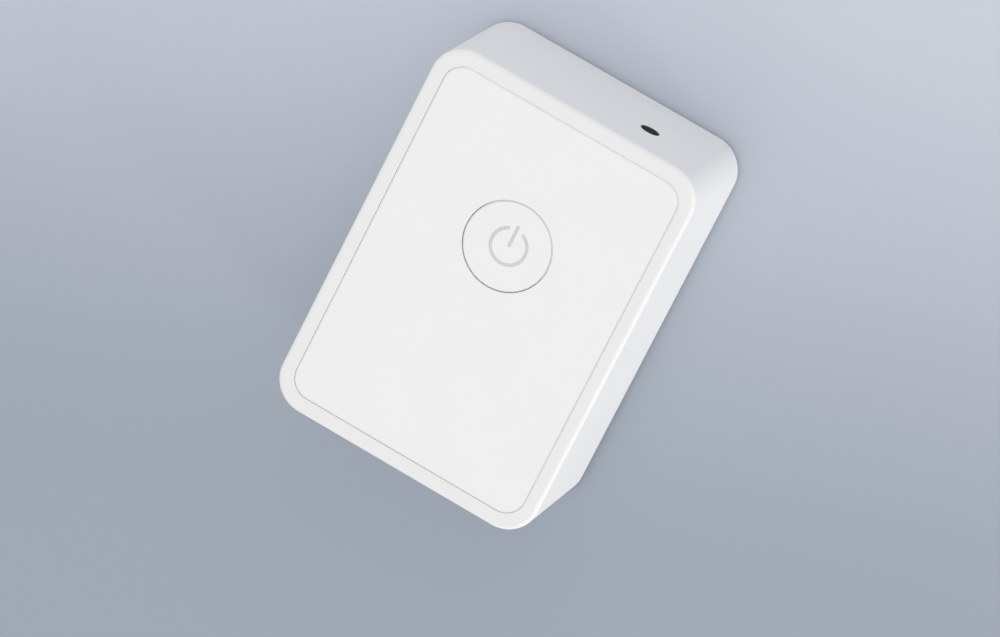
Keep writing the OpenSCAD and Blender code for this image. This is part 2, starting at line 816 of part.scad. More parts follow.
// Draws its children at both keyholes
module at_keyholes() {
    for (sx = [-1, 1]) translate([sx * keyhole_x, keyhole_y, 0]) children();
}

// Angle rib that holds one corner of the battery, with its inner edge inside_y from the middle
module tray_corner(inside_y) {
    inside_x = battery_w / 2 + tray_gap;
    translate([inside_x, inside_y + tray_t - tray_arm, cover_top_z - over])
        cube([tray_t, tray_arm, tray_h + over]);
    translate([inside_x + tray_t - tray_arm, inside_y, cover_top_z - over])
        cube([tray_arm, tray_t, tray_h + over]);
}

module rear_cover() color("white") difference() {
    union() {
        plate(cover_w, cover_l, cover_r, rear_z, cover_top_z);
        four(boss_x, boss_y) rod(0, 0, cover_boss_r, cover_top_z - over, boss_low_z);
        for (sx = [0, 1]) mirror([sx, 0, 0]) {
            tray_corner(battery_high_y + tray_gap);
            mirror([0, 1, 0]) tray_corner(cell_board_t + tray_gap - battery_low_y);
        }
    }
    at_keyholes() translate([0, 0, rear_z - over]) linear_extrude(cover_t + 2 * over)
        keyhole_shape(keyhole_r, keyhole_slot);
    // screw holes, each sunk for its head
    four(boss_x, boss_y) {
        rod(0, 0, screw_r + fit_gap, rear_z - over, boss_low_z + over);
        rod(0, 0, screw_head_r + head_gap, rear_z - over, boss_low_z - screw_seat_t);
    }
    four(foot_x, foot_y) rod(0, 0, foot_r, rear_z - over, rear_z + foot_sink);
    block(0, 0, label_w, label_l, rear_z - over, rear_z + label_deep);
    for (i = [0 : vent_n - 1])
        block((i - (vent_n - 1) / 2) * vent_pitch, vent_y_share * cover_l, vent_w, vent_l,
            rear_z - over, cover_top_z + over);
}

// Guards over the keyholes: closed caps with room inside for a wall screw's head to slide
module keyhole_guards() color("white") at_keyholes() difference() {
    translate([0, 0, cover_top_z]) linear_extrude(guard_h + guard_wall)
        keyhole_shape(guard_out_r, 2 * guard_out_r);
    translate([0, 0, cover_top_z - over]) linear_extrude(guard_h + over)
        keyhole_shape(guard_in_r, 2 * guard_in_r);
}

module cover_screws() color("silver") four(boss_x, boss_y)
    screw(screw_r, screw_l - over, screw_head_r, screw_head_h, boss_low_z - screw_seat_t);

module rubber_feet() color("dimgray") four(foot_x, foot_y) rotate_extrude() polygon([
    [0, 0], [foot_r - foot_edge, 0], [foot_r, foot_edge], [foot_r, foot_proud + foot_sink],
    [0, foot_proud + foot_sink]
]);

housing();
front_panel();
panel_film();
power_button();
symbol_light_guide();
button_return_sleeve();
button_board();
button_board_screws();
tact_switch();
tact_plunger();
tact_leads();
status_lights();
link_header();
link_pins();
link_socket();
main_board();
main_board_screws();
power_jack();
jack_centre_pin();
jack_sleeve_contact();
network_module();
network_shield();
device_module();
device_shield();
main_processor();
memory_chips();
power_inductor();
capacitors();
crystal();
chip_parts();
antenna();
battery_socket();
battery_plug();
battery_lead_red();
battery_lead_black();
backup_battery();
battery_guard_board();
battery_foam();
battery_top_foam();
rear_cover();
keyhole_guards();
cover_screws();
rubber_feet();
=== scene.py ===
"""A white smart home hub with a round power button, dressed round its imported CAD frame.

Lengths inside the classes are millimetres of the row frame: X to the right, Y towards the edge
with the power inlet, Z out of the front. They become metres when a mesh is made.
"""

import json
import logging
import math
from dataclasses import dataclass
from enum import Enum

import bmesh
import bpy
import numpy as np
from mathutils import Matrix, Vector
from mathutils.geometry import tessellate_polygon


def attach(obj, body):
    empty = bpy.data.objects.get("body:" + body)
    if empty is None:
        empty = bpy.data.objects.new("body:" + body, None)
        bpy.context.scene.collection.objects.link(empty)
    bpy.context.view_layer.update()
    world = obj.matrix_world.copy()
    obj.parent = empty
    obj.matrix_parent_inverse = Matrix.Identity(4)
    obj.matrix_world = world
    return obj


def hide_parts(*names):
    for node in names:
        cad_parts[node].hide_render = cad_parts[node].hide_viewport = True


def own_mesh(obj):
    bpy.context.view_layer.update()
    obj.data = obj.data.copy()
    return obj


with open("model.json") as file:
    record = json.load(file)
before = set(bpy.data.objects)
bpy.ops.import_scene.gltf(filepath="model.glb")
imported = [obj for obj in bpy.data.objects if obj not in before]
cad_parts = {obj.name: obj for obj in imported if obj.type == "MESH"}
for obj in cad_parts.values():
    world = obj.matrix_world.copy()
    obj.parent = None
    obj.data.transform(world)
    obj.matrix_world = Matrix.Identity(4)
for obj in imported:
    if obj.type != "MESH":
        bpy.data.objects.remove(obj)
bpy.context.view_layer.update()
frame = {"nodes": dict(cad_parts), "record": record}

log = logging.getLogger("hub")

MM = 0.001
TURN = 2 * math.pi
HUB, BUTTON = "hub", "pressed_button"
SIGNS = [(1, 1), (-1, 1), (-1, -1), (1, -1)]
HAIR = 0.05  # Radius of an edge that is barely broken.
SHARP = math.radians(38)  # Edges that turn by more stay sharp.

Pair = tuple[float, float]
Triple = tuple[float, float, float]
Look = tuple[object, object, object]


# Outlines and profiles


@dataclass(frozen=True)
class Rim:
    """A closed outline that can grow: a ring at reach q is base + q * normal, seen along +Z.

    Attributes:
        base: Points of the outline at reach 0, one row each.
        normal: The way each point moves as the outline grows.
    """

    base: np.ndarray
    normal: np.ndarray

    def ring(self, reach: float, z: float) -> np.ndarray:
        """The outline at one reach and level, as rows of x, y and z."""
        flat = self.base + reach * self.normal
        return np.column_stack([flat, np.full(len(flat), z)])

    def upright(self, reach: float, y: float) -> np.ndarray:
        """The outline at one reach, stood up in the plane of one y."""
        return self.ring(reach, y)[:, [0, 2, 1]]


def corners(at: Pair) -> list[Pair]:
    """A place and its three mirror images, counter-clockwise."""
    return [(sx * at[0], sy * at[1]) for sx, sy in SIGNS]


def round_rect_rim(half_x: float, half_y: float, segments: int = 20, hold: float = 0.5) -> Rim:
    """Rim whose reach is the corner radius, about corner centres at (+-half_x, +-half_y).

    Each corner is centre + q * (cos t, sin t) over a quarter turn. Two more points on each
    straight side hold the flat next to the corner's round.

    Args:
        half_x: X of the corner centres.
        half_y: Y of the corner centres.
        segments: Steps in each corner.
        hold: Distance of the holding points from the corners.

    Returns:
        The rim, counter-clockwise from the middle of the +X side.
    """
    t = np.linspace(0, math.pi / 2, segments + 1)
    base, normal = [], []
    centres = np.array(corners((half_x, half_y)))
    for k, (centre, ahead) in enumerate(zip(centres, np.roll(centres, -1, axis=0))):
        angle = t + k * math.pi / 2
        normal.append(np.column_stack([np.cos(angle), np.sin(angle)]))
        base.append(np.broadcast_to(centre, (segments + 1, 2)))
        along = (ahead - centre) / np.linalg.norm(ahead - centre)
        base.append(np.array([centre + hold * along, ahead - hold * along]))
        normal.append(np.broadcast_to(normal[-1][-1], (2, 2)))
    return Rim(np.vstack(base), np.vstack(normal))


def circle_rim(x: float, y: float, count: int = 96) -> Rim:
    """Rim of circles about (x, y): the reach is the radius."""
    t = np.linspace(0, TURN, count, endpoint=False)
    return Rim(np.tile([x, y], (count, 1)), np.column_stack([np.cos(t), np.sin(t)]))


def outline_rim(points: np.ndarray) -> Rim:
    """Rim of a counter-clockwise outline that grows by the same distance on every side.

    Each point moves along m = (a + b) / (1 + a . b), where a and b are the outward normals of
    the two edges that meet there, so both edges move out by the reach.

    Args:
        points: The outline's points, one row each.

    Returns:
        The rim.
    """
    edge = np.roll(points, -1, axis=0) - points
    out = np.column_stack([edge[:, 1], -edge[:, 0]])
    out /= np.linalg.norm(out, axis=1, keepdims=True)
    before = np.roll(out, 1, axis=0)
    mitre = (out + before) / (1 + np.sum(out * before, axis=1, keepdims=True))
    return Rim(points, mitre)


def arc(x: float, y: float, r: float, start: float, end: float, count: int) -> np.ndarray:
    """Points of a circle's arc about (x, y), from start to end in degrees."""
    t = np.radians(np.linspace(start, end, count))
    return np.column_stack([x + r * np.cos(t), y + r * np.sin(t)])


def rounded(rows: list[Triple], segments: int = 4, hold: float = 0.12) -> np.ndarray:
    """Profile of reach and level with each corner rounded by its own radius.

    At a corner with turn a the arc is centre - r * cos(s) * n + r * sin(s) * d for s from 0 to
    a, where d is the way in and n the way to the centre. A point held a little before and
    after each arc keeps the shading of the flats clean.

    Args:
        rows: Reach, level and radius of each corner. The first and last stay sharp.
        segments: Steps in each arc.
        hold: Distance of the holding points from the arc.

    Returns:
        Rows of reach and level.
    """
    p = np.array([row[:2] for row in rows], float)
    out = [p[0]]
    for i in range(1, len(rows) - 1):
        r = rows[i][2]
        way_in, way_out = p[i] - p[i - 1], p[i + 1] - p[i]
        d, e = way_in / np.linalg.norm(way_in), way_out / np.linalg.norm(way_out)
        if r <= 0:
            out.append(p[i])
            continue
        turn = math.acos(float(np.clip(d @ e, -1, 1)))
        reach = r * math.tan(turn / 2)
        n = e - (d @ e) * d
        n /= np.linalg.norm(n)
        s = np.linspace(0, turn, segments + 1)[:, None]
        start = p[i] - reach * d
        out.append(start - hold * d)
        out.extend(start + r * n - r * np.cos(s) * n + r * np.sin(s) * d)
        out.append(start + reach * (d + e) + hold * e)
    out.append(p[-1])
    return np.array(out)


# Meshes


class Shell:
    """Points and faces of one closed piece. Faces may be added in any turn: build() sets them."""

    def __init__(self) -> None:
        """Starts with no points and no faces."""
        self.points: list[np.ndarray] = []
        self.faces: list[list[int]] = []
        self.count = 0

    def add(self, ring: np.ndarray) -> np.ndarray:
        """Adds a ring's points.

        Args:
            ring: The points, one row each.

        Returns:
            Their numbers.
        """
        self.points.append(ring)
        numbers = np.arange(self.count, self.count + len(ring))
        self.count += len(ring)
        return numbers

    def bridge(self, a: np.ndarray, b: np.ndarray, leave_out: int | None = None) -> None:
        """Joins two rings of as many points with a band of quads.

        Args:
            a: Numbers of the first ring's points.
            b: Numbers of the second ring's points.
            leave_out: Place in the ring of a quad that is left open.
        """
        quads = np.column_stack([a, np.roll(a, -1), np.roll(b, -1), b])
        if leave_out is not None:
            quads = np.delete(quads, leave_out, axis=0)
        self.faces.extend(quads.tolist())

    def sweep(self, rim: Rim, profile: np.ndarray) -> list[np.ndarray]:
        """Carries a profile round a rim: ring k is the rim at the profile's reach and level k."""
        return self.join([self.add(rim.ring(reach, z)) for reach, z in profile])

    def join(self, rings: list[np.ndarray]) -> list[np.ndarray]:
        """Bridges each ring to the next.

        Args:
            rings: Numbers of each ring's points, in order.

        Returns:
            The same rings.
        """
        for a, b in zip(rings, rings[1:]):
            self.bridge(a, b)
        return rings

    def cap(self, rings: list[np.ndarray]) -> None:
        """Closes a row of rings at both ends."""
        self.fill(rings[0])
        self.fill(rings[-1])

    def loop(self, rim: Rim, profile: np.ndarray) -> None:
        """Carries a closed profile round a rim: its last row repeats its first and is dropped."""
        rings = self.sweep(rim, profile[:-1])
        self.bridge(rings[-1], rings[0])

    def fill(self, outer: np.ndarray, *holes: np.ndarray) -> None:
        """Fills a flat face inside one ring, round any rings that are holes in it.

        Args:
            outer: Numbers of the outer ring's points.
            holes: Numbers of each hole's points.
        """
        cloud = np.vstack(self.points)
        loops = [outer, *holes]
        triangles = tessellate_polygon([[Vector(p) for p in cloud[loop]] for loop in loops])
        numbers = np.concatenate(loops)
        self.faces.extend(numbers[np.array(triangles)].tolist())

    def build(self, name: str) -> bpy.types.Object:
        """Makes the object: metres, faces outwards, smooth but for edges over 38 degrees.

        Args:
            name: Name of the piece.

        Returns:
            The object, at the origin, linked to the scene.
        """
        mesh = bpy.data.meshes.new(name)
        mesh.from_pydata(np.vstack(self.points) * MM, [], self.faces)
        work = bmesh.new()
        work.from_mesh(mesh)
        bmesh.ops.recalc_face_normals(work, faces=work.faces)
        open_edges = sum(not e.is_manifold for e in work.edges)
        volume = work.calc_volume() / MM**3
        work.to_mesh(mesh)
        work.free()
        mesh.shade_smooth()
        mesh.set_sharp_from_angle(angle=SHARP)
        piece = bpy.data.objects.new(name, mesh)
        bpy.context.scene.collection.objects.link(piece)
        log.info("%s: %d faces, %d open edges, %.1f mm3", name, len(mesh.polygons), open_edges,
                 volume)
        return piece


def place(piece: bpy.types.Object, body: str, slot: str, *nodes: str) -> None:
    """Rides a piece on its body, gives it its slot's material, and hides the nodes it replaces.

    Args:
        piece: The finished piece.
        body: Name of the CAD body that it moves with.
        slot: The record's material slot.
        nodes: CAD nodes that the piece stands for.
    """
    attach(piece, body)
    if nodes:
        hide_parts(*nodes)
    piece.data.materials.append(FINISHES[slot].material())


# Material building


class Tree:
    """A node tree with short calls to add and join its nodes."""

    def __init__(self, tree: bpy.types.NodeTree) -> None:
        """Keeps the tree that the nodes go into."""
        self.tree = tree

    def add(self, kind: str, settings: dict | None = None, **sockets: object) -> bpy.types.Node:
        """Adds a node and sets or joins its input sockets.

        Args:
            kind: The node's type, without its ShaderNode prefix.
            settings: The node's own properties.
            sockets: Values or output sockets by input name, with _ for a blank, or by number
                as i0, i1 and so on.

        Returns:
            The node.
        """
        node = self.tree.nodes.new("ShaderNode" + kind)
        for key, value in (settings or {}).items():
            setattr(node, key, value)
        for key, value in sockets.items():
            numbered = key[0] == "i" and key[1:].isdigit()
            socket = node.inputs[int(key[1:]) if numbered else key.replace("_", " ")]
            if isinstance(value, bpy.types.NodeSocket):
                self.tree.links.new(value, socket)
            else:
                socket.default_value = value
        return node

    @property
    def here(self) -> bpy.types.NodeSocket:
        """Object coordinates."""
        return self.add("TexCoord").outputs["Object"]

    def noise(self, vector: object, scale: object, detail: float = 2.0,
              **more: float) -> bpy.types.NodeSocket:
        """Value of a noise of about 1 / scale metres a bump."""
        return self.add("TexNoise", Vector=vector, Scale=scale, Detail=detail,
                        **more).outputs["Fac"]

    def math(self, how: str, a: object, b: object = 0.0) -> bpy.types.NodeSocket:
        """Result of one step of arithmetic on two values."""
        return self.add("Math", {"operation": how}, i0=a, i1=b).outputs[0]

    def blend(self, a: object, share_a: float, b: object, share_b: float) -> bpy.types.NodeSocket:
        """Sum of a share of each of two values."""
        return self.math("ADD", self.math("MULTIPLY", a, share_a),
                         self.math("MULTIPLY", b, share_b))

    def spread(self, value: object, low: float, high: float) -> bpy.types.NodeSocket:
        """Maps a value of 0 to 1 onto low to high."""
        return self.add("MapRange", Value=value, To_Min=low, To_Max=high).outputs["Result"]

    def mask(self, value: object, low: float, high: float) -> bpy.types.NodeSocket:
        """Smooth step from 0 at low to 1 at high."""
        return self.add("MapRange", {"interpolation_type": "SMOOTHSTEP"}, Value=value,
                        From_Min=low, From_Max=high).outputs["Result"]

    def mix(self, amount: object, a: object, b: object) -> bpy.types.NodeSocket:
        """Mixes two colours.

        Args:
            amount: Share of the second colour.
            a: First colour, as three numbers or an output socket.
            b: Second colour, in the same form.

        Returns:
            The mixed colour.
        """
        node = self.add("Mix", {"data_type": "RGBA"}, Factor=amount)
        for socket, value in ((node.inputs[6], a), (node.inputs[7], b)):
            if isinstance(value, bpy.types.NodeSocket):
                self.tree.links.new(value, socket)
            else:
                socket.default_value = (*value, 1.0)
        return node.outputs[2]


def empty_tree(owner: bpy.types.Material | bpy.types.World) -> Tree:
    """Turns the owner's nodes on and clears them.

    Args:
        owner: The material or world.

    Returns:
        Its empty tree.
    """
    owner.use_nodes = True
    owner.node_tree.nodes.clear()
    return Tree(owner.node_tree)


class Effect(Enum):
    """Effects that several materials share, each a node group built once."""

    GRAIN = "moulded_grain"
    MARKS = "handling_marks"
    BRUSH = "brushed_metal"
    TRACES = "board_traces"

    def group(self) -> bpy.types.NodeTree:
        """Finds the effect's group, and builds it at its first use.

        Returns:
            The group.
        """
        known = bpy.data.node_groups.get(self.value)
        return known or {Effect.GRAIN: moulded_grain, Effect.MARKS: handling_marks,
                         Effect.BRUSH: brushed_metal, Effect.TRACES: board_traces}[self](self.value)

    def use(self, tree: Tree, **values: object) -> bpy.types.Node:
        """Adds this group to a material's tree, with its own values.

        Args:
            tree: The material's tree.
            values: Values of the group's inputs by name, with _ for a blank.

        Returns:
            The group's node.
        """
        node = tree.tree.nodes.new("ShaderNodeGroup")
        node.node_tree = self.group()
        for key, value in values.items():
            node.inputs[key.replace("_", " ")].default_value = value
        return node


def start_group(name: str, values: dict[str, float]) -> tuple[Tree, list[object], object]:
    """Makes an empty node group with its inputs.

    Args:
        name: Name of the group.
        values: Input names with their usual values.

    Returns:
        The tree, its inputs' sockets in order and the object coordinates.
    """
    group = bpy.data.node_groups.new(name, "ShaderNodeTree")
    for key, value in values.items():
        socket = group.interface.new_socket(key, in_out="INPUT", socket_type="NodeSocketFloat")
        socket.default_value = value
    tree = Tree(group)
    return tree, list(group.nodes.new("NodeGroupInput").outputs), tree.here


def end_group(tree: Tree, **results: object) -> bpy.types.NodeTree:
    """Gives the group its outputs, each joined to its value.

    Args:
        tree: The group's tree.
        results: Output names with the sockets that feed them.

    Returns:
        The group.
    """
    group = tree.tree
    for key in results:
        group.interface.new_socket(key, in_out="OUTPUT", socket_type="NodeSocketFloat")
    out = group.nodes.new("NodeGroupOutput")
    for key, value in results.items():
        group.links.new(value, out.inputs[key])
    return group


def moulded_grain(name: str) -> bpy.types.NodeTree:
    """Spark-eroded mould grain: fine cells on a soft noise, and slow flecks of colour.

    Args:
        name: Name of the group.

    Returns:
        The group.
    """
    tree, (grain, fleck, *_), here = start_group(
        name, {"Grain Scale": 6000.0, "Fleck Scale": 90.0})
    cells = tree.add("TexVoronoi", {"feature": "SMOOTH_F1"}, Vector=here, Scale=grain,
                     Smoothness=0.6).outputs["Distance"]
    soft = tree.noise(here, tree.math("MULTIPLY", grain, 0.45), 3.0)
    return end_group(tree, Height=tree.blend(cells, 0.6, soft, 0.7),
                     Fleck=tree.noise(here, fleck, 4.0))


def handling_marks(name: str) -> bpy.types.NodeTree:
    """Faint marks of handling: broad smudges, and thin rubbed streaks along one way.

    Args:
        name: Name of the group.

    Returns:
        The group.
    """
    tree, (smudge, streak, *_), here = start_group(
        name, {"Smudge Scale": 60.0, "Streak Scale": 700.0})
    stretched = tree.add("Mapping", Vector=here, Scale=(0.12, 1.0, 0.5)).outputs["Vector"]
    smudges = tree.noise(here, smudge, 5.0, Roughness=0.62, Distortion=0.4)
    return end_group(tree, Smudge=tree.mask(smudges, 0.42, 0.72),
                     Streak=tree.mask(tree.noise(stretched, streak), 0.62, 0.78))


def brushed_metal(name: str) -> bpy.types.NodeTree:
    """Fine lines of drawn or rolled metal, and soft patches of tarnish.

    Args:
        name: Name of the group.

    Returns:
        The group.
    """
    tree, (line, patch, *_), here = start_group(
        name, {"Line Scale": 9000.0, "Patch Scale": 400.0})
    stretched = tree.add("Mapping", Vector=here, Scale=(0.03, 1.0, 1.0)).outputs["Vector"]
    return end_group(tree, Lines=tree.noise(stretched, line, 3.0),
                     Patch=tree.noise(here, patch, 4.0))


def board_traces(name: str) -> bpy.types.NodeTree:
    """Circuit tracks and pads: bricks broken by a coarse noise, and dots where vias stand.

    Args:
        name: Name of the group.

    Returns:
        The group.
    """
    tree, (track, via, *_), here = start_group(
        name, {"Track Scale": 900.0, "Via Scale": 300.0})
    bricks = tree.add("TexBrick", {"offset": 0.37, "squash": 1.6}, Vector=here, Scale=track,
                      Mortar_Size=0.13, Mortar_Smooth=0.1, Brick_Width=2.4,
                      Row_Height=0.55).outputs["Fac"]
    region = tree.add("TexNoise", {"noise_dimensions": "2D"}, Vector=here, Detail=1.0,
                      Scale=via).outputs["Fac"]
    dots = tree.add("TexVoronoi", {"feature": "F1", "voronoi_dimensions": "2D"}, Vector=here,
                    Randomness=0.8, Scale=via).outputs["Distance"]
    return end_group(tree, Track=tree.math("MULTIPLY", bricks, tree.mask(region, 0.44, 0.5)),
                     Via=tree.math("SUBTRACT", 1.0, tree.mask(dots, 0.1, 0.14)))


class Kind(Enum):
    """Ways that a finish is made up."""

    MOULDED = "moulded plastic or rubber"
    METAL = "bare or plated metal"
    BOARD = "circuit board under its solder mask"
    FOAM = "open foam"
    FOIL = "crimped pouch foil"
    CERAMIC = "fired ceramic or moulded package"
    FILM = "clear or tinted film"


@dataclass(frozen=True)
class Finish:
    """One finish: its colour and gloss, and the sizes of its own texture.

    Attributes:
        slot: The record's material slot.
        kind: How the finish is made up.
        colour: Linear base colour.
        second: Linear colour of its flecks, tracks or tarnish, and for foam the painted shade in
            its pits.
        roughness: Middle of its roughness.
        swing: How far the roughness strays either way.
        grain: Scale of the fine texture, in bumps a metre.
        depth: Height of the fine texture, in metres.
        coat: Weight of a gloss coat over it.
        sheen: Weight of a dusty sheen.
        specular: Level of its reflection.
        subsurface: Share of light that passes into it.
    """

    slot: str
    kind: Kind
    colour: Triple
    second: Triple
    roughness: float
    swing: float = 0.05
    grain: float = 6000.0
    depth: float = 4e-6
    coat: float = 0.0
    sheen: float = 0.0
    specular: float = 0.5
    subsurface: float = 0.0

    def material(self) -> bpy.types.Material:
        """Finds the finish's material, and builds it at its first use.

        Returns:
            The material.
        """
        name = f"{self.slot}_finish"
        known = bpy.data.materials.get(name)
        if known:
            return known
        material = bpy.data.materials.new(name)
        tree = empty_tree(material)
        colour, roughness, height = {
            Kind.MOULDED: self.moulded, Kind.METAL: self.metal, Kind.BOARD: self.board,
            Kind.FOAM: self.foam, Kind.FOIL: self.foil, Kind.CERAMIC: self.ceramic,
            Kind.FILM: self.film}[self.kind](tree)
        bump = tree.add("Bump", Strength=1.0, Distance=self.depth, Height=height)
        shader = tree.add(
            "BsdfPrincipled", Base_Color=colour, Roughness=roughness,
            Normal=bump.outputs["Normal"], Metallic=float(self.kind is Kind.METAL),
            Coat_Weight=self.coat, Coat_Roughness=0.12, Sheen_Weight=self.sheen,
            Specular_IOR_Level=self.specular, Subsurface_Weight=self.subsurface,
            Subsurface_Radius=(MM, MM, MM))
        tree.add("OutputMaterial", Surface=shader.outputs["BSDF"])
        return material

    def rough(self, tree: Tree, share: object) -> object:
        """Roughness that strays about its middle as the share goes from 0 to 1."""
        return tree.spread(share, max(self.roughness - self.swing, 0.02),
                           min(self.roughness + self.swing, 1.0))

    def moulded(self, tree: Tree) -> Look:
        """Moulded surface: mould grain, flecks of the second colour, smudges and rubbed streaks.

        Args:
            tree: The material's tree.

        Returns:
            Colour, roughness and height.
        """
        grain = Effect.GRAIN.use(tree, Grain_Scale=self.grain)
        marks = Effect.MARKS.use(tree)
        fleck = tree.mask(grain.outputs["Fleck"], 0.35, 0.75)
        colour = tree.mix(fleck, self.colour, self.second)
        wear = tree.blend(marks.outputs["Smudge"], 0.6, marks.outputs["Streak"], 0.4)
        return colour, self.rough(tree, wear), grain.outputs["Height"]

    def metal(self, tree: Tree) -> Look:
        """Drawn metal: fine lines, and patches that dull the colour and the gloss.

        Args:
            tree: The material's tree.

        Returns:
            Colour, roughness and height.
        """
        brush = Effect.BRUSH.use(tree, Line_Scale=self.grain)
        patch = tree.mask(brush.outputs["Patch"], 0.4, 0.75)
        colour = tree.mix(patch, self.colour, self.second)
        return colour, self.rough(tree, patch), brush.outputs["Lines"]

    def board(self, tree: Tree) -> Look:
        """Solder mask over tracks that stand a little proud and lighter, with tinned vias.

        Args:
            tree: The material's tree.

        Returns:
            Colour, roughness and height.
        """
        traces = Effect.TRACES.use(tree, Track_Scale=self.grain)
        grain = Effect.GRAIN.use(tree, Grain_Scale=self.grain * 6)
        tracked = tree.mix(tree.math("MULTIPLY", traces.outputs["Track"], 0.9),
                           self.colour, self.second)
        colour = tree.mix(traces.outputs["Via"], tracked, (0.62, 0.6, 0.52))
        height = tree.blend(traces.outputs["Track"], 0.8, grain.outputs["Height"], 0.15)
        return colour, self.rough(tree, grain.outputs["Fleck"]), height

    def foam(self, tree: Tree) -> Look:
        """Open cells of mixed sizes: pits between thin walls, darkened with painted shade.

        Args:
            tree: The material's tree.

        Returns:
            Colour, roughness and height.
        """
        here = tree.here
        cells = tree.add("TexVoronoi", {"feature": "DISTANCE_TO_EDGE"}, Vector=here,
                         Scale=self.grain, Randomness=1.0).outputs["Distance"]
        mottle = tree.noise(here, self.grain * 0.3, 3.0)
        walls = tree.mask(cells, 0.03, 0.3)
        # Painted shade: the pits take the dark second colour and the walls the first, with a random
        # mottle.
        colour = tree.mix(tree.math("MULTIPLY", walls, mottle), self.second, self.colour)
        return colour, self.rough(tree, mottle), tree.math("SUBTRACT", 1.0, walls)

    def foil(self, tree: Tree) -> Look:
        """Pouch foil: broad creases crossed by a fine rolled texture.

        Args:
            tree: The material's tree.

        Returns:
            Colour, roughness and height.
        """
        here = tree.here
        creases = tree.noise(here, self.grain * 0.05, Distortion=1.4)
        brush = Effect.BRUSH.use(tree, Line_Scale=self.grain)
        height = tree.math("ADD", creases, tree.math("MULTIPLY", brush.outputs["Lines"], 0.05))
        colour = tree.mix(tree.mask(creases, 0.4, 0.7), self.colour, self.second)
        return colour, self.rough(tree, brush.outputs["Patch"]), height

    def ceramic(self, tree: Tree) -> Look:
        """Moulded package or fired ceramic: tight pores and a cloudy body colour.

        Args:
            tree: The material's tree.

        Returns:
            Colour, roughness and height.
        """
        here = tree.here
        pores = tree.add("TexVoronoi", {"feature": "F1"}, Vector=here,
                         Scale=self.grain).outputs["Distance"]
        cloud = tree.noise(here, self.grain * 0.12, 4.0)
        colour = tree.mix(cloud, self.colour, self.second)
        return colour, self.rough(tree, cloud), tree.mask(pores, 0.0, 0.4)

    def film(self, tree: Tree) -> Look:
        """Film: soft waves of its thickness, and a cloudy tint.

        Args:
            tree: The material's tree.

        Returns:
            Colour, roughness and height.
        """
        here = tree.here
        wave = tree.noise(here, self.grain * 0.1, 2.0)
        cloud = tree.noise(here, self.grain * 0.02, 3.0)
        return tree.mix(cloud, self.colour, self.second), self.rough(tree, cloud), wave


WHITE: Triple = (0.882, 0.882, 0.882)
WHITE_FLECK: Triple = (0.872, 0.873, 0.875)

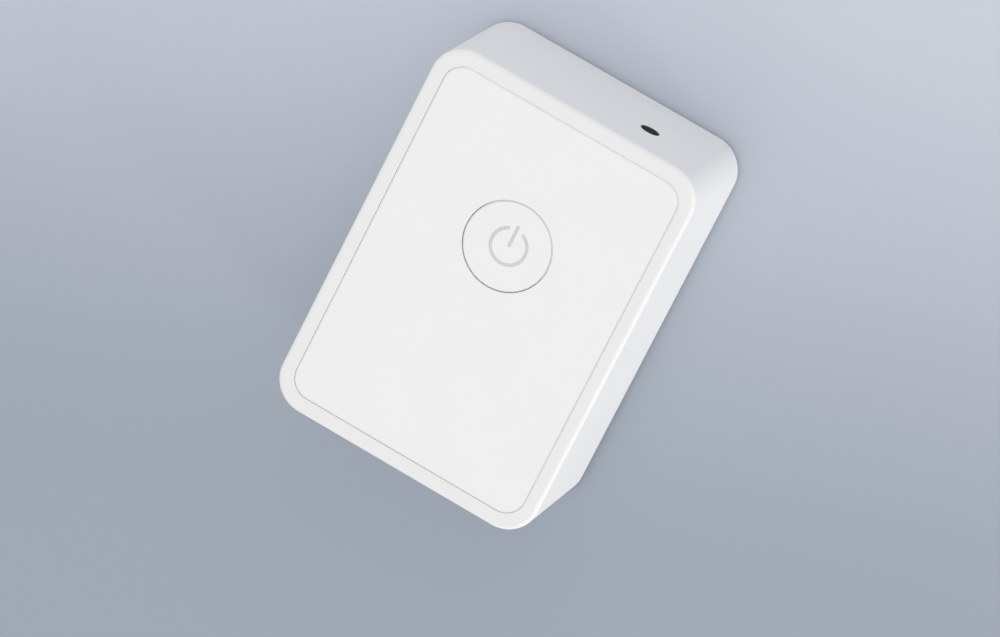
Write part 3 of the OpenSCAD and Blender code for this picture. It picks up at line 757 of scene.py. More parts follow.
FINISHES: dict[str, Finish] = {f.slot: f for f in (
    Finish("housing_plastic", Kind.MOULDED, WHITE, WHITE_FLECK, 0.5, 0.05, 5200.0, 2.2e-6,
           specular=0.35),
    Finish("panel_plastic", Kind.MOULDED, (0.912, 0.912, 0.913), (0.903, 0.904, 0.906), 0.48,
           0.05, 6400.0, 1.6e-6),
    Finish("button_plastic", Kind.MOULDED, (0.914, 0.914, 0.915), (0.905, 0.906, 0.908), 0.48,
           0.05, 6400.0, 1.6e-6),
    Finish("symbol_plastic", Kind.MOULDED, (0.695, 0.698, 0.70), (0.67, 0.673, 0.675), 0.48, 0.05,
           7000.0, 1.5e-6),
    Finish("cover_plastic", Kind.MOULDED, (0.855, 0.856, 0.862), (0.838, 0.842, 0.850), 0.5, 0.07,
           3600.0, 6e-6),
    Finish("foot_rubber", Kind.MOULDED, (0.36, 0.37, 0.38), (0.30, 0.31, 0.32), 0.72, 0.1,
           4200.0, 9e-6, sheen=0.2),
    Finish("adhesive_film", Kind.FILM, (0.42, 0.42, 0.43), (0.36, 0.36, 0.37), 0.45, 0.08,
           2600.0, 4e-6),
    Finish("silicone", Kind.MOULDED, (0.70, 0.70, 0.69), (0.64, 0.64, 0.63), 0.55, 0.08, 3200.0,
           3e-6, sheen=0.15, subsurface=0.15),
    Finish("board_green", Kind.BOARD, (0.012, 0.105, 0.042), (0.03, 0.19, 0.075), 0.34, 0.08,
           820.0, 1.6e-5, coat=0.35),
    Finish("module_blue", Kind.BOARD, (0.012, 0.035, 0.16), (0.03, 0.07, 0.26), 0.34, 0.08,
           1200.0, 1.2e-5, coat=0.35),
    Finish("black_plastic", Kind.MOULDED, (0.075, 0.075, 0.077), (0.095, 0.095, 0.098), 0.5, 0.1,
           4200.0, 5e-6),
    Finish("chip_black", Kind.CERAMIC, (0.022, 0.022, 0.024), (0.036, 0.036, 0.038), 0.58, 0.08,
           5200.0, 6e-6),
    Finish("screw_steel", Kind.METAL, (0.62, 0.62, 0.63), (0.46, 0.46, 0.47), 0.34, 0.1, 7000.0,
           4e-6),
    Finish("tinned_steel", Kind.METAL, (0.70, 0.70, 0.69), (0.645, 0.645, 0.635), 0.30, 0.1, 8000.0,
           3e-6),
    Finish("gold_plate", Kind.METAL, (0.86, 0.62, 0.26), (0.74, 0.50, 0.20), 0.26, 0.08, 8000.0,
           2e-6),
    Finish("capacitor_can", Kind.METAL, (0.76, 0.77, 0.78), (0.71, 0.72, 0.735), 0.22, 0.07,
           6000.0, 2e-6),
    Finish("ferrite", Kind.CERAMIC, (0.050, 0.048, 0.047), (0.075, 0.072, 0.07), 0.66, 0.1,
           4200.0, 1.2e-5),
    Finish("ceramic_chip", Kind.CERAMIC, (0.52, 0.42, 0.28), (0.40, 0.31, 0.2), 0.45, 0.1,
           7000.0, 4e-6),
    Finish("light_lens", Kind.MOULDED, (0.78, 0.76, 0.60), (0.70, 0.68, 0.52), 0.2, 0.06, 5000.0,
           1e-6, coat=0.6, subsurface=0.3),
    Finish("ivory_nylon", Kind.MOULDED, (0.72, 0.67, 0.52), (0.66, 0.61, 0.46), 0.48, 0.08,
           4200.0, 4e-6, subsurface=0.1),
    Finish("lead_red", Kind.MOULDED, (0.55, 0.02, 0.015), (0.46, 0.016, 0.012), 0.42, 0.08,
           5200.0, 3e-6, coat=0.15),
    Finish("lead_black", Kind.MOULDED, (0.02, 0.02, 0.021), (0.03, 0.03, 0.032), 0.44, 0.08,
           5200.0, 3e-6, coat=0.15),
    Finish("battery_foil", Kind.FOIL, (0.60, 0.63, 0.67), (0.50, 0.53, 0.58), 0.32, 0.09, 5200.0,
           9e-5),
    # Its second colour is painted shade for the pits between the cells.
    Finish("foam", Kind.FOAM, (0.055, 0.055, 0.058), (0.012, 0.012, 0.013), 0.9, 0.08, 2800.0,
           8e-5, sheen=0.2),
)}


# The hub's own sizes


@dataclass(frozen=True)
class Body:
    """Sizes that several pieces share.

    Attributes:
        corner_x: X of the body's corner centres.
        corner_y: Y of the body's corner centres.
        outer_q: Corner radius outside.
        inner_q: Corner radius inside the walls.
        lip_q: Corner radius inside the rebate that the cover lies in.
        rear_z: Level of the rear face.
        cover_z: Level of the cover's inner face.
        inner_z: Level of the front wall's inner face.
        front_z: Level of the front face.
        edge: Radius of the front and rear edges.
        fine: Radius of edges that are only broken.
        button_y: Y of the button's centre.
    """

    corner_x: float = 22.8
    corner_y: float = 34.95
    outer_q: float = 7.2
    inner_q: float = 5.0
    lip_q: float = 6.1
    rear_z: float = 0.8
    cover_z: float = 2.8
    inner_z: float = 31.6
    front_z: float = 34.6
    edge: float = 0.9
    fine: float = 0.08
    button_y: float = 10.5

    @property
    def rim(self) -> Rim:
        """Rim about the body's corner centres."""
        return round_rect_rim(self.corner_x, self.corner_y)


BODY = Body()


@dataclass(frozen=True)
class Panel:
    """The inlaid front panel, and the recess that holds it.

    Attributes:
        corner_x: X of the corner centres.
        corner_y: Y of the corner centres.
        recess_q: Corner radius of the recess.
        panel_q: Corner radius of the panel.
        recess_z: Level of the recess's floor.
        panel_z: Level of the panel's underside.
        step_q: Corner radius of the panel's hidden foot, which closes the groove.
        step_z: Level of that foot's shoulder.
        hole_r: Radius of the hole for the button.
        soft: Radius of the groove's two edges.
    """

    corner_x: float = 22.3
    corner_y: float = 34.25
    recess_q: float = 4.6
    panel_q: float = 4.3
    recess_z: float = 33.2
    panel_z: float = 33.4
    step_q: float = 4.55
    step_z: float = 34.3
    hole_r: float = 9.47
    soft: float = 0.16

    @property
    def rim(self) -> Rim:
        """Rim about the panel's corner centres."""
        return round_rect_rim(self.corner_x, self.corner_y)

    def build(self) -> None:
        """Builds the panel: a plate with broken edges round the button's hole."""
        shell = Shell()
        top, fine, keep = BODY.front_z, BODY.fine, 0.5
        outside = rounded([
            (self.panel_q - keep, self.panel_z, 0), (self.step_q, self.panel_z, HAIR),
            (self.step_q, self.step_z, 0.03), (self.panel_q, self.step_z, 0.03),
            (self.panel_q, top, self.soft), (self.panel_q - keep, top, 0)], hold=0.04)
        edge = shell.sweep(self.rim, outside)
        inside = rounded([
            (self.hole_r + keep, top, 0), (self.hole_r, top, fine),
            (self.hole_r, self.panel_z, HAIR), (self.hole_r + keep, self.panel_z, 0)], hold=0.04)
        hole = shell.sweep(circle_rim(0, BODY.button_y, 160), inside)
        shell.fill(edge[-1], hole[0])
        shell.fill(edge[0], hole[-1])
        place(shell.build("panel_plate"), HUB, "panel_plastic", "front_panel")


@dataclass(frozen=True)
class Inlet:
    """The round power inlet in the upper wall.

    Attributes:
        x: X of its axis.
        z: Level of its axis.
        r: Radius of the hole in the wall.
        lip: Length of that hole.
        channel_r: Radius of the room behind it for the jack's nose.
    """

    x: float = 12.7
    z: float = 21.0
    r: float = 2.1
    lip: float = 1.2
    channel_r: float = 2.75

    def rings(self, shell: Shell) -> list[np.ndarray]:
        """Adds the hole's rings, from the outer wall's face to the inner wall's.

        Each ring lies in a plane of one y: x + r * cos t and z + r * sin t.

        Args:
            shell: The shell that gets the rings.

        Returns:
            The rings, outermost first.
        """
        outer_y = BODY.corner_y + BODY.outer_q
        inner_y = BODY.corner_y + BODY.inner_q
        fine = BODY.fine
        profile = rounded([
            (self.r + 0.4, outer_y, 0), (self.r, outer_y, fine),
            (self.r, outer_y - self.lip, fine), (self.channel_r, outer_y - self.lip, fine),
            (self.channel_r, inner_y, fine), (self.channel_r + 0.4, inner_y, 0)], hold=0.04)
        around = circle_rim(self.x, self.z, 72)
        return shell.join([shell.add(around.upright(reach, y)) for reach, y in profile])


@dataclass(frozen=True)
class InletCollar:
    """The jack's black collar, which lines the hole in the upper wall.

    Attributes:
        outer_r: Radius outside, just inside the wall's hole.
        bore_r: Radius of its bore.
        sunk: How far its mouth lies behind the wall's face.
    """

    outer_r: float = 2.09
    bore_r: float = 1.92
    sunk: float = 0.07

    def build(self) -> None:
        """Builds the collar: a short tube with a rounded mouth, up to the jack's nose."""
        shell, inlet = Shell(), Inlet()
        high = BODY.corner_y + BODY.outer_q - self.sunk
        low = high + self.sunk - inlet.lip
        edge, mouth = 0.04, 0.06
        profile = [(self.bore_r, low), (self.outer_r, low), (self.outer_r, high - edge),
                   (self.outer_r - edge, high), (self.bore_r + mouth, high),
                   (self.bore_r, high - mouth)]
        around = circle_rim(inlet.x, inlet.z, 72)
        rings = [shell.add(around.upright(reach, y)) for reach, y in profile]
        shell.join(rings + rings[:1])
        place(shell.build("inlet_collar"), HUB, "black_plastic")


@dataclass(frozen=True)
class Housing:
    """The white shell: four walls and the front with its bezel, in one moulding.

    Attributes:
        hole_r: Radius of the hole for the button in the front wall.
        boss_at: Place of the corner bosses.
        boss_r: Their outer and hole radii.
        board_boss_at: Place of the main board's bosses.
        board_boss_r: Their outer and hole radii.
        board_boss_z: Level of their ends.
        post_x: Distance of the button board's posts from the button.
        post_r: Their outer and hole radii.
        post_z: Level of their ends.
        boss_gap: Distance of the corner bosses' ends from the cover.
        sink: How far bosses and posts reach into the front wall.
        hole_depth: Depth of their screw holes.
    """

    hole_r: float = 9.52
    boss_at: Pair = (23.8, 35.95)
    boss_r: Pair = (2.9, 1.3)
    board_boss_at: Pair = (23.2, 22.036)
    board_boss_r: Pair = (2.2, 0.95)
    board_boss_z: float = 18.3
    post_x: float = 13.35
    post_r: Pair = (2.0, 0.95)
    post_z: float = 24.6
    boss_gap: float = 1.8
    sink: float = 0.4
    hole_depth: float = 6.0

    @property
    def posts(self) -> list[Pair]:
        """Places of the button board's posts."""
        return [(sx * self.post_x, BODY.button_y) for sx in (-1, 1)]

    def build(self) -> None:
        """Builds the shell as one profile carried round the rim, and pierces it for the inlet."""
        shell = Shell()
        b, p = BODY, Panel()
        top, keep = b.front_z, 0.5
        wall = rounded([
            (b.inner_q - keep, b.inner_z, 0), (b.inner_q, b.inner_z, 0.4),
            (b.inner_q, b.cover_z, HAIR), (b.lip_q, b.cover_z, HAIR),
            (b.lip_q, b.rear_z, b.fine), (b.outer_q, b.rear_z, b.edge),
            (b.outer_q, top, b.edge), (b.outer_q - b.edge - 0.2, top, 0)],
            segments=8, hold=0.04)
        rings = [shell.add(b.rim.ring(q, z)) for q, z in wall]
        tunnel = Inlet().rings(shell)
        ends = []
        for low, high, rise in zip(rings, rings[1:], np.abs(np.diff(wall[:, 1]))):
            if rise < (top - b.rear_z) / 2:
                shell.bridge(low, high)
                continue
            gap = self.upper_gap(shell, low)
            after = (gap + 1) % len(low)
            shell.bridge(low, high, leave_out=gap)
            ends.append(np.array([low[gap], low[after], high[after], high[gap]]))
        inner, outer = ends
        shell.fill(inner, tunnel[-1])
        shell.fill(outer, tunnel[0])
        recess = shell.sweep(p.rim, rounded([
            (p.recess_q + 0.4, top, 0), (p.recess_q, top, p.soft),
            (p.recess_q, p.recess_z, HAIR), (p.recess_q - keep, p.recess_z, 0)], hold=0.04))
        shell.bridge(rings[-1], recess[0])
        hole = shell.sweep(circle_rim(0, b.button_y, 128), rounded([
            (self.hole_r + keep, p.recess_z, 0), (self.hole_r, p.recess_z, b.fine),
            (self.hole_r, b.inner_z, b.fine), (self.hole_r + keep, b.inner_z, 0)], hold=0.04))
        shell.fill(recess[-1], hole[0])
        shell.fill(rings[0], hole[-1])
        self.add_bosses(shell)
        place(shell.build("housing_shell"), HUB, "housing_plastic", "housing")

    def upper_gap(self, shell: Shell, ring: np.ndarray) -> int:
        """Place in a ring of the quad across the flat of the upper wall.

        Args:
            shell: The shell that holds the ring.
            ring: Numbers of the ring's points.

        Returns:
            Place of the quad's first point in the ring.
        """
        points = np.vstack(shell.points)[ring]
        middle = (points + np.roll(points, -1, axis=0)) / 2
        return int(np.argmin(np.abs(middle[:, 0]) - middle[:, 1]))

    def add_bosses(self, shell: Shell) -> None:
        """Adds the bosses as closed tubes that sink a little into the front wall.

        Args:
            shell: The housing's shell.
        """
        top = BODY.inner_z + self.sink
        low = BODY.cover_z + self.boss_gap
        places = [(*at, *self.boss_r, low) for at in corners(self.boss_at)]
        places += [(*at, *self.board_boss_r, self.board_boss_z)
                   for at in corners(self.board_boss_at)]
        places += [(*at, *self.post_r, self.post_z) for at in self.posts]
        for x, y, r, hole, start in places:
            end = start + self.hole_depth
            profile = rounded([
                (hole + 0.2, top, 0), (r, top, HAIR), (r, start, 0.1), (hole, start, 0.1),
                (hole, end, HAIR), (0.3, end, 0)], segments=3, hold=0.03)
            rings = shell.sweep(circle_rim(x, y, 32), profile)
            shell.cap(rings)


@dataclass(frozen=True)
class Button:
    """The power button: its cap, and the light guide whose symbol is flush with the face.

    Attributes:
        cap_r: Radius of the cap.
        flange_r: Radius of the flange that keeps it in the front wall.
        skirt_r: Radius inside its skirt.
        face_z: Level of the underside of its face.
        flange_z: Levels of the flange's lower and upper faces.
        edge: Radius of the cap's edge.
        ring_r: Radius of the symbol's ring.
        stroke: Width of the symbol's stroke.
        half_open: Half the angle that the ring leaves open, in degrees.
        bar_l: Length of the symbol's bar.
        symbol_at: Place of the ring's centre, from the cap's.
        gap: Gap between the symbol and the cap.
        shoulder: Radius and level of the shoulder that closes the gap round the cap.
        guide_r: Radius of the light guide's disc.
        stem_r: Radius of its stem.
        stem_z: Level of the stem's lower end.
    """

    cap_r: float = 9.15
    flange_r: float = 10.45
    skirt_r: float = 8.0
    face_z: float = 33.0
    flange_z: Pair = (30.6, 31.5)
    edge: float = 0.25
    ring_r: float = 3.8
    stroke: float = 0.57
    half_open: float = 24.0
    bar_l: float = 4.7
    symbol_at: Pair = (0.25, 0.2)
    gap: float = 0.03
    shoulder: Pair = (9.36, 34.12)
    guide_r: float = 6.0
    stem_r: float = 1.5
    stem_z: float = 28.6

    def symbol(self, grow: float) -> list[Rim]:
        """Outlines of the symbol's open ring and of its bar.

        The ring's two ends lie along radii, set back so that the outline grows alike all round.

        Args:
            grow: Distance by which the outlines are grown.

        Returns:
            The ring's rim and the bar's rim.
        """
        half = self.stroke / 2 + grow
        outer, inner = self.ring_r + half, self.ring_r - half
        x, y = self.symbol_at[0], BODY.button_y + self.symbol_at[1]
        ends = [self.half_open - math.degrees(math.asin(grow / r)) for r in (outer, inner)]
        ring = np.vstack([arc(x, y, outer, 90 + ends[0], 450 - ends[0], 88),
                          arc(x, y, inner, 450 - ends[1], 90 + ends[1], 88)])
        low, high = y - grow, y + self.bar_l + grow
        bar = np.array([(-half, low), (half, low), (half, high), (-half, high)]) + [x, 0]
        return [outline_rim(ring), outline_rim(bar)]

    def build(self) -> None:
        """Builds the cap and the light guide."""
        self.build_cap()
        self.build_guide()

    def build_cap(self) -> None:
        """Cap: one profile turned about its axis, with the symbol cut through its face."""
        shell = Shell()
        top = BODY.front_z
        low, high = self.flange_z
        profile = rounded([
            (self.cap_r - 0.8, top, 0), (self.cap_r, top, self.edge),
            (self.cap_r, self.shoulder[1], HAIR), (self.shoulder[0], self.shoulder[1], HAIR),
            (self.shoulder[0], high, 0.1),
            (self.flange_r, high, 0.15), (self.flange_r, low, 0.15), (self.skirt_r, low, 0.1),
            (self.skirt_r, self.face_z, 0.3), (self.skirt_r - 0.8, self.face_z, 0)],
            segments=5, hold=0.05)
        rings = shell.sweep(circle_rim(0, BODY.button_y, 160), profile)
        straight = np.array([(0, top), (0, self.face_z)])
        slots = [shell.sweep(rim, straight) for rim in self.symbol(self.gap)]
        shell.fill(rings[0], *(s[0] for s in slots))
        shell.fill(rings[-1], *(s[-1] for s in slots))
        place(shell.build("button_cap"), BUTTON, "button_plastic", "power_button")

    def build_guide(self) -> None:
        """Light guide: the symbol's two bars over a disc, which stands on a stem."""
        shell = Shell()
        top, thick = BODY.front_z, 1.0
        for rim in self.symbol(0.0):
            profile = rounded([(-0.05, top, 0), (0, top, 0.02), (0, self.face_z - 0.4, 0)],
                              segments=3, hold=0.01)
            rings = shell.sweep(rim, profile)
            shell.cap(rings)
        disc = rounded([
            (self.stem_r, self.face_z, 0), (self.guide_r, self.face_z, 0.1),
            (self.guide_r, self.face_z - thick, 0.1), (self.stem_r, self.face_z - thick, 0.3),
            (self.stem_r, self.stem_z, 0.2), (self.stem_r - 0.8, self.stem_z, 0)],
            segments=4, hold=0.05)
        rings = shell.sweep(circle_rim(0, BODY.button_y, 72), disc)
        shell.cap(rings)
        place(shell.build("symbol_insert"), BUTTON, "symbol_plastic", "symbol_light_guide")


@dataclass(frozen=True)
class ReturnSleeve:
    """The silicone sleeve under the cap: a foot ring, a sloping web and an upper ring.

    Attributes:
        low_z: Level of the button board that it stands on.
        high_z: Level of the cap's flange, which it bears on its upper ring.
        foot: Inner and outer radii and thickness of the foot ring.
        top: Inner and outer radii and thickness of the upper ring.
        web: Thickness of the web.
        travel: How far the cap presses it down; not used.
    """

    low_z: float = 24.6
    high_z: float = 30.6
    foot: Triple = (8.8625, 10.5, 0.8)
    top: Triple = (8.0, 9.2, 0.9)
    web: float = 0.6
    travel: float = 0.4

    def build(self) -> None:
        """Builds the sleeve in its rest shape, which the cap squashes towards its foot when
        pressed.
        """
        shell = Shell()
        foot_in, foot_out, foot_t = self.foot
        top_in, top_out, top_t = self.top
        foot_z, top_z = self.low_z + foot_t, self.high_z - top_t
        middle = (foot_in + foot_out) / 2
        shell.loop(circle_rim(0, BODY.button_y, 96), rounded([
            (middle, self.low_z, 0), (foot_out, self.low_z, 0.15), (foot_out, foot_z, 0.15),
            (foot_in + self.web, foot_z, 0.3), (top_in + self.web, top_z, 0.3),
            (top_out, top_z, 0.1), (top_out, self.high_z, 0.15), (top_in, self.high_z, 0.15),
            (top_in, top_z, 0.1), (foot_in, foot_z, 0.3), (foot_in, self.low_z, 0.15),
            (middle, self.low_z, 0)], hold=0.02))
        sleeve = shell.build("return_sleeve")
        place(sleeve, HUB, "silicone", "button_return_sleeve")
        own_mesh(sleeve)


@dataclass(frozen=True)
class Screws:
    """A set of screws with a threaded shank and a cross in the head, heads down.

    Attributes:
        name: Name of the piece.
        node: The CAD node that it stands for.
        places: Places of the screws.
        seat: Level that the head bears on.
        r: Radius over the thread.
        length: Length of the shank over the seat.
        head_r: Radius of the head.
        head_h: Height of the head.
        pitch: Pitch of the thread.
    """

    name: str
    node: str
    places: list[Pair]
    seat: float
    r: float
    length: float
    head_r: float
    head_h: float
    pitch: float

    def build(self) -> None:
        """Builds every screw of the set into one piece."""
        shell = Shell()
        for x, y in self.places:
            self.add_head(shell, x, y)
            self.add_shank(shell, x, y)
        place(shell.build(self.name), HUB, "screw_steel", self.node)

    def add_head(self, shell: Shell, x: float, y: float) -> None:
        """Adds a pan head with a tapered cross sunk into its underside.

        Args:
            shell: The set's shell.
            x: X of the screw's axis.
            y: Y of the screw's axis.
        """
        low = self.seat - self.head_h
        arm, half = 0.6 * self.head_r, 0.2 * self.head_r
        cross = np.array([(half, -arm), (half, -half), (arm, -half), (arm, half), (half, half),
                          (half, arm), (-half, arm), (-half, half), (-arm, half),
                          (-arm, -half), (-half, -half), (-half, -arm)]) + [x, y]
        rings = shell.sweep(circle_rim(x, y, 40), rounded([
            (self.head_r - 0.35 * self.head_h, low, 0),
            (self.head_r, low, 0.34 * self.head_h), (self.head_r, self.seat, 0.08),
            (0.5 * self.r, self.seat, 0)], segments=4, hold=0.0))
        slot = shell.sweep(outline_rim(cross), np.array([
            (0, low), (-0.03 * self.head_r, low + 0.1 * self.head_h),
            (-0.09 * self.head_r, low + 0.55 * self.head_h)]))
        shell.fill(rings[0], slot[0])
        shell.fill(slot[-1])
        shell.fill(rings[-1])

    def add_shank(self, shell: Shell, x: float, y: float) -> None:
        """Adds the threaded shank.

        The surface is r - d * |2 * ((z / pitch - t / turn) mod 1) - 1| at height z and angle t,
        where d is the thread's depth: one ridge that climbs a pitch a turn. It fades out at the
        head and narrows to the point.

        Args:
            shell: The set's shell.
            x: X of the screw's axis.
            y: Y of the screw's axis.
        """
        steps, around, depth, point = 6, 24, 0.16, 0.45
        rows = int(self.length / self.pitch * steps)
        z = np.linspace(0, self.length, rows)[:, None]
        t = np.linspace(0, TURN, around, endpoint=False)[None, :]
        wave = np.abs(2 * np.mod(z / self.pitch - t / TURN, 1.0) - 1)
        fade = np.clip(z / self.pitch, 0, 1)
        narrow = np.clip((self.length - z) / (1.2 * self.pitch), point, 1)
        r = (self.r - depth * self.r * wave * fade) * narrow
        grid = np.stack([x + r * np.cos(t), y + r * np.sin(t),
                         np.broadcast_to(self.seat - 0.2 + z * (self.length + 0.2) / self.length,
                                         r.shape)], axis=-1)
        shell.cap(shell.join([shell.add(row) for row in grid]))


@dataclass(frozen=True)
class RearCover:
    """The rear cover with its keyholes, vents, bare label recess, feet and screws.

    Attributes:
        cover_q: Corner radius of the cover.
        screw_at: Place of the screws.
        boss_r: Radii of the boss, the counterbore and the screw hole.
        boss_z: Level of the bosses' tops and of the seats of the screw heads.
        keyhole_at: Place of the keyholes' round entries.
        keyhole_r: Radius of the entry and half width of the slot.
        keyhole_slide: Length of the slot.
        foot_at: Place of the feet.
        foot_r: Radius of the feet.
        foot_z: Level of the feet's upper faces.
        label: Half width, half length and depth of the label recess.
        vent_y: Y of the vents' middle.
        vent: Half width, half length and pitch of the vents.
        vent_count: Number of the vents.
        tray: Inner edges of the battery's tray: x, high y and low y.
        tray_t: Thickness of the tray's ribs.
        tray_arm: Length of the ribs.
        tray_z: Level of the ribs' tops.
    """

    cover_q: float = 6.0
    screw_at: Pair = (23.8, 35.95)
    boss_r: Triple = (3.2, 2.5, 1.3)
    boss_z: Pair = (4.6, 3.1)
    keyhole_at: Pair = (14.0, 30.15)
    keyhole_r: Pair = (3.3, 1.8)
    keyhole_slide: float = 5.0
    foot_at: Pair = (22.72, 25.7985)
    foot_r: float = 4.0
    foot_z: float = 1.6
    label: Triple = (17.0, 11.0, 0.3)
    vent_y: float = -31.5315
    vent: Triple = (0.65, 3.5, 3.0)
    vent_count: int = 7
    tray: Triple = (17.3, 24.3, -25.3)
    tray_t: float = 1.2
    tray_arm: float = 7.0
    tray_z: float = 6.3

    def build(self) -> None:
        """Builds the cover, its feet and its screws."""
        self.build_cover()
        self.build_feet()
        Screws("cover_screw_set", "cover_screws", corners(self.screw_at), seat=self.boss_z[1],
               r=1.25, length=10.5, head_r=2.2, head_h=1.5, pitch=0.9).build()

    def keyhole(self, x: float) -> Rim:
        """Outline of a keyhole: most of the entry's circle, then the slot's sides and round end.

        Args:
            x: X of the keyhole's axis.

        Returns:
            Its rim.
        """
        r, half = self.keyhole_r
        y = self.keyhole_at[1]
        open_at = math.degrees(math.asin(half / r))
        entry = arc(x, y, r, 90 + open_at, 450 - open_at, 60)
        end = arc(x, y + self.keyhole_slide, half, 0, 180, 21)
        return outline_rim(np.vstack([entry, end]))

    def vents(self) -> list[Rim]:
        """Outlines of the vents: slots with rounded ends, side by side.

        Returns:
            Their rims.
        """
        half_w, half_l, pitch = self.vent
        r, side = 0.3, self.vent_count // 2
        slot = round_rect_rim(half_w - r, half_l - r, 5, 0.05)
        return [Rim(slot.base + [k * pitch, self.vent_y] + r * slot.normal, slot.normal)
                for k in range(-side, side + 1)]

    def build_cover(self) -> None:
        """Builds the plate, with everything that is cut into it or stands on it."""
        shell = Shell()
        rear, inside, fine = BODY.rear_z, BODY.cover_z, BODY.fine
        edge = shell.sweep(BODY.rim, rounded([
            (self.cover_q - 0.6, rear, 0), (self.cover_q, rear, 0.25),
            (self.cover_q, inside, 0.1), (self.cover_q - 0.6, inside, 0)], hold=0.05))
        through = rounded([(0.15, rear, 0), (0, rear, fine), (0, inside, fine),
                           (0.15, inside, 0)], segments=3, hold=0.02)
        lower, upper = [], []
        keyholes = [self.keyhole(sx * self.keyhole_at[0]) for sx in (-1, 1)]
        for opening in [*self.vents(), *keyholes]:
            rings = shell.sweep(opening, through)
            lower.append(rings[0])
            upper.append(rings[-1])
        boss, sunk, hole = self.boss_r
        boss_top, seat = self.boss_z
        for screw_at, foot_at in zip(corners(self.screw_at), corners(self.foot_at)):
            rings = shell.sweep(circle_rim(*screw_at, 56), rounded([
                (sunk + 0.2, rear, 0), (sunk, rear, fine), (sunk, seat, HAIR),
                (hole, seat, HAIR), (hole, boss_top, HAIR), (boss, boss_top, 0.15),
                (boss, inside, 0.2), (boss + 0.3, inside, 0)], segments=4, hold=0.02))
            lower.append(rings[0])
            upper.append(rings[-1])
            rings = shell.sweep(circle_rim(*foot_at, 56), rounded([
                (self.foot_r + 0.2, rear, 0), (self.foot_r, rear, HAIR),
                (self.foot_r, self.foot_z, HAIR), (self.foot_r - 0.5, self.foot_z, 0)],
                segments=3, hold=0.02))
            lower.append(rings[0])
            shell.fill(rings[-1])
        half_w, half_l, deep = self.label
        label = round_rect_rim(half_w - 1, half_l - 1, 8, 0.2)
        rings = shell.sweep(label, rounded([
            (1.2, rear, 0), (1, rear, fine), (1, rear + deep, fine), (0.8, rear + deep, 0)],
            segments=3, hold=0.02))
        lower.append(rings[0])
        shell.fill(rings[-1])
        shell.fill(edge[0], *lower)
        shell.fill(edge[-1], *upper)
        self.add_tray(shell)
        place(shell.build("rear_cover_plate"), HUB, "cover_plastic", "rear_cover")

    def add_tray(self, shell: Shell) -> None:
        """Adds the four angle ribs round the battery, each a closed block sunk into the plate.

        Args:
            shell: The cover's shell.
        """
        x, high, low = self.tray
        t, arm = self.tray_t, self.tray_arm
        for sx in (-1, 1):
            for sy, y in ((1, high), (-1, -low)):
                rib = np.array([(x, y + t - arm), (x + t, y + t - arm), (x + t, y + t),
                                (x + t - arm, y + t), (x + t - arm, y), (x, y)]) * [sx, sy]
                rib = rib[::-1] if sx * sy < 0 else rib
                rings = shell.sweep(outline_rim(rib), rounded([
                    (-0.3, self.tray_z, 0), (0, self.tray_z, 0.12),
                    (0, BODY.cover_z - 0.3, 0)], segments=3, hold=0.03))
                shell.cap(rings)

    def build_feet(self) -> None:
        """Feet: soft-edged discs with a shallow ring moulded round their underside."""
        shell = Shell()
        r = self.foot_r
        for at in corners(self.foot_at):
            rings = shell.sweep(circle_rim(*at, 64), rounded([
                (0.4 * r, 0, 0), (0.62 * r, 0, HAIR), (0.64 * r, 0.12, 0.03),
                (0.72 * r, 0.12, 0.03), (0.74 * r, 0, HAIR), (r, 0, 0.3),
                (r, self.foot_z, 0.06), (r - 0.6, self.foot_z, 0)], segments=4, hold=0.02))
            shell.cap(rings)
        place(shell.build("feet_set"), HUB, "foot_rubber", "rubber_feet")


@dataclass(frozen=True)
class Inside:
    """What the shell hides: its CAD nodes keep their shape, and get their slots' finishes.

    Attributes:
        board_seat: Level of the main board's screw seats.
        button_board_seat: Level of the button board's screw seats.
    """

    board_seat: float = 16.7
    button_board_seat: float = 23.4

    def build(self) -> None:
        """Builds the inner screws and gives every CAD node its slot's material."""
        housing = Housing()
        for name, node, places, seat in (
                ("board_screw_set", "main_board_screws", corners(housing.board_boss_at),
                 self.board_seat),
                ("button_board_screw_set", "button_board_screws", housing.posts,
                 self.button_board_seat)):
            Screws(name, node, places, seat, r=0.9, length=6.0, head_r=1.8, head_h=1.2,
                   pitch=0.7).build()
        slots = {s["node"]: s["material_slot"] for s in frame["record"]["subparts"]}
        for node, piece in sorted(frame["nodes"].items()):
            material = FINISHES[slots[node]].material()
            if piece.material_slots:
                for place_in in piece.material_slots:
                    place_in.material = material
            else:
                piece.data.materials.append(material)
            log.info("%s: CAD node dressed as %s", node, slots[node])


# Camera, light and floor


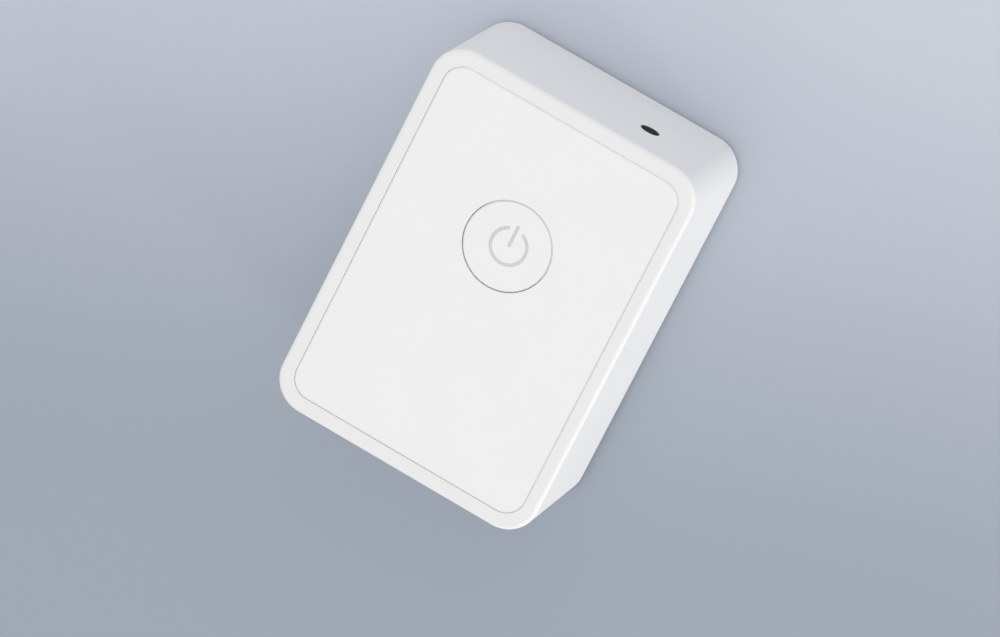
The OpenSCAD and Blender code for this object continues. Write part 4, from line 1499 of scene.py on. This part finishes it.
@dataclass(frozen=True)
class Studio:
    """Camera at the photograph's angle, soft plain light and a pale floor.

    Attributes:
        eye: Place of the camera, in millimetres.
        turn: Its Euler angles, in degrees.
        lens: Focal length, in millimetres.
        sensor: Width of the sensor, in millimetres.
        floor_half: Half the floor's side, in metres.
        floor_z: Level of the floor, in metres: just under the feet.
        painted_falloff_way: X and Y of the way in which the floor's painted light falloff grows
            paler.
        painted_falloff_span: Where the painted falloff starts and ends to grow paler along that
            way, in metres.
        painted_falloff_colours: Its dark and its pale linear colour, the two ends of the painted
            light falloff.
        aim: Point of the hub that the lamps face, in metres.
        sky: Strength of the even light from all round.
        lamps: Name, place in metres, power in watts, side in metres and colour of each lamp.
    """

    eye: Triple = (227.917252, 452.868984, 1388.471838)
    turn: Triple = (-12.215408, 16.652802, 26.921737)
    lens: float = 261.308
    sensor: float = 36.0
    floor_half: float = 3.0
    floor_z: float = -2e-5
    painted_falloff_way: Pair = (-0.329, 0.953)
    painted_falloff_span: Pair = (-0.060, 0.085)
    painted_falloff_colours: tuple[Triple, Triple] = ((0.361, 0.407, 0.479), (0.625, 0.664, 0.745))
    aim: Triple = (0.0, 0.0, 0.017)
    sky: float = 0.84
    lamps: tuple[tuple[str, Triple, float, float, Triple], ...] = (
        ("lamp_right", (0.95, -0.32, 0.085), 3.75, 0.16, (1.0, 0.965, 0.91)),
        ("lamp_above", (0.1, -0.1, 1.2), 0.8, 0.7, (1.0, 1.0, 1.0)),
        ("lamp_top", (0.0, 0.9, 0.7), 0.6, 0.7, (1.0, 0.96, 0.90)),
        ("lamp_low", (0.0, -0.9, 0.7), 0.3, 0.7, (1.0, 1.0, 1.0)))

    def build_camera(self) -> None:
        """Adds the camera, with no shift and no depth of field."""
        data = bpy.data.cameras.new("camera")
        data.lens, data.sensor_width = self.lens, self.sensor
        data.clip_start, data.clip_end = 0.05, 30.0
        camera = bpy.data.objects.new("camera", data)
        camera.location = Vector(self.eye) * MM
        camera.rotation_euler = [math.radians(a) for a in self.turn]
        bpy.context.scene.collection.objects.link(camera)
        bpy.context.scene.camera = camera

    def build_floor(self) -> None:
        """Adds the floor: a flat square with a slow blue-grey painted light falloff across it."""
        side = np.linspace(-self.floor_half, self.floor_half, 13)
        x, y = np.meshgrid(side, side)
        points = np.column_stack([x.ravel(), y.ravel(), np.full(x.size, self.floor_z)])
        n = len(side)
        k = (np.arange(n - 1)[:, None] * n + np.arange(n - 1)[None, :]).ravel()
        mesh = bpy.data.meshes.new("floor")
        mesh.from_pydata(points, [], np.column_stack([k, k + 1, k + n + 1, k + n]).tolist())
        floor = bpy.data.objects.new("floor", mesh)
        bpy.context.scene.collection.objects.link(floor)
        material = bpy.data.materials.new("floor")
        tree = empty_tree(material)
        here = tree.here
        split = tree.add("SeparateXYZ", Vector=here)
        # Painted light falloff: the floor's colour runs from dark to pale along one way, standing
        # in for uneven light.
        across = tree.blend(split.outputs["X"], self.painted_falloff_way[0],
                            split.outputs["Y"], self.painted_falloff_way[1])
        mottle = tree.noise(here, 6.0, 3.0)
        colour = tree.mix(tree.mask(across, *self.painted_falloff_span), *self.painted_falloff_colours)
        soft = tree.mix(tree.math("MULTIPLY", mottle, 0.03), colour, (0.7, 0.72, 0.75))
        shader = tree.add("BsdfPrincipled", Base_Color=soft, Specular_IOR_Level=0.2,
                          Roughness=tree.spread(mottle, 0.55, 0.7))
        tree.add("OutputMaterial", Surface=shader.outputs["BSDF"])
        mesh.materials.append(material)

    def build_light(self) -> None:
        """Adds the even sky and the soft lamps."""
        world = bpy.data.worlds.new("studio")
        tree = empty_tree(world)
        path = tree.add("LightPath")
        seen = tree.math("MAXIMUM", path.outputs["Is Camera Ray"],
                         path.outputs["Is Transmission Ray"])
        light = tree.add("Background", Color=(1.0, 1.0, 1.0, 1.0), Strength=self.sky)
        pale = tree.add("Background", Color=(0.60, 0.645, 0.72, 1.0), Strength=1.0)
        both = tree.add("MixShader", i0=seen, i1=light.outputs[0], i2=pale.outputs[0])
        tree.add("OutputWorld", Surface=both.outputs[0])
        bpy.context.scene.world = world
        for lamp in self.lamps:
            self.add_lamp(*lamp)

    def add_lamp(self, name: str, at: Triple, power: float, side: float,
                 colour: Triple) -> None:
        """Adds a square lamp that faces the hub and leaves no glare on it.

        Args:
            name: Name of the lamp.
            at: Its place, in metres.
            power: Its power, in watts.
            side: Side of its square, in metres.
            colour: Its colour.
        """
        data = bpy.data.lights.new(name, "AREA")
        data.shape, data.size, data.energy = "SQUARE", side, power
        data.color = colour
        lamp = bpy.data.objects.new(name, data)
        lamp.location = at
        lamp.visible_glossy = False
        way = Vector(self.aim) - Vector(at)
        lamp.rotation_euler = way.to_track_quat("-Z", "Y").to_euler()
        bpy.context.scene.collection.objects.link(lamp)


def main() -> None:
    """Builds the studio and each part of the hub in order."""
    logging.basicConfig(level=logging.INFO, format="%(name)s: %(message)s")
    bpy.context.scene.view_settings.view_transform = "Standard"
    studio = Studio()
    studio.build_camera()
    for part in (Housing(), InletCollar(), Panel(), Button(), ReturnSleeve(), RearCover(),
                 Inside()):
        part.build()
        log.info("%s built", type(part).__name__)
    studio.build_floor()
    studio.build_light()
    bpy.context.view_layer.update()


if __name__ == "__main__":
    main()
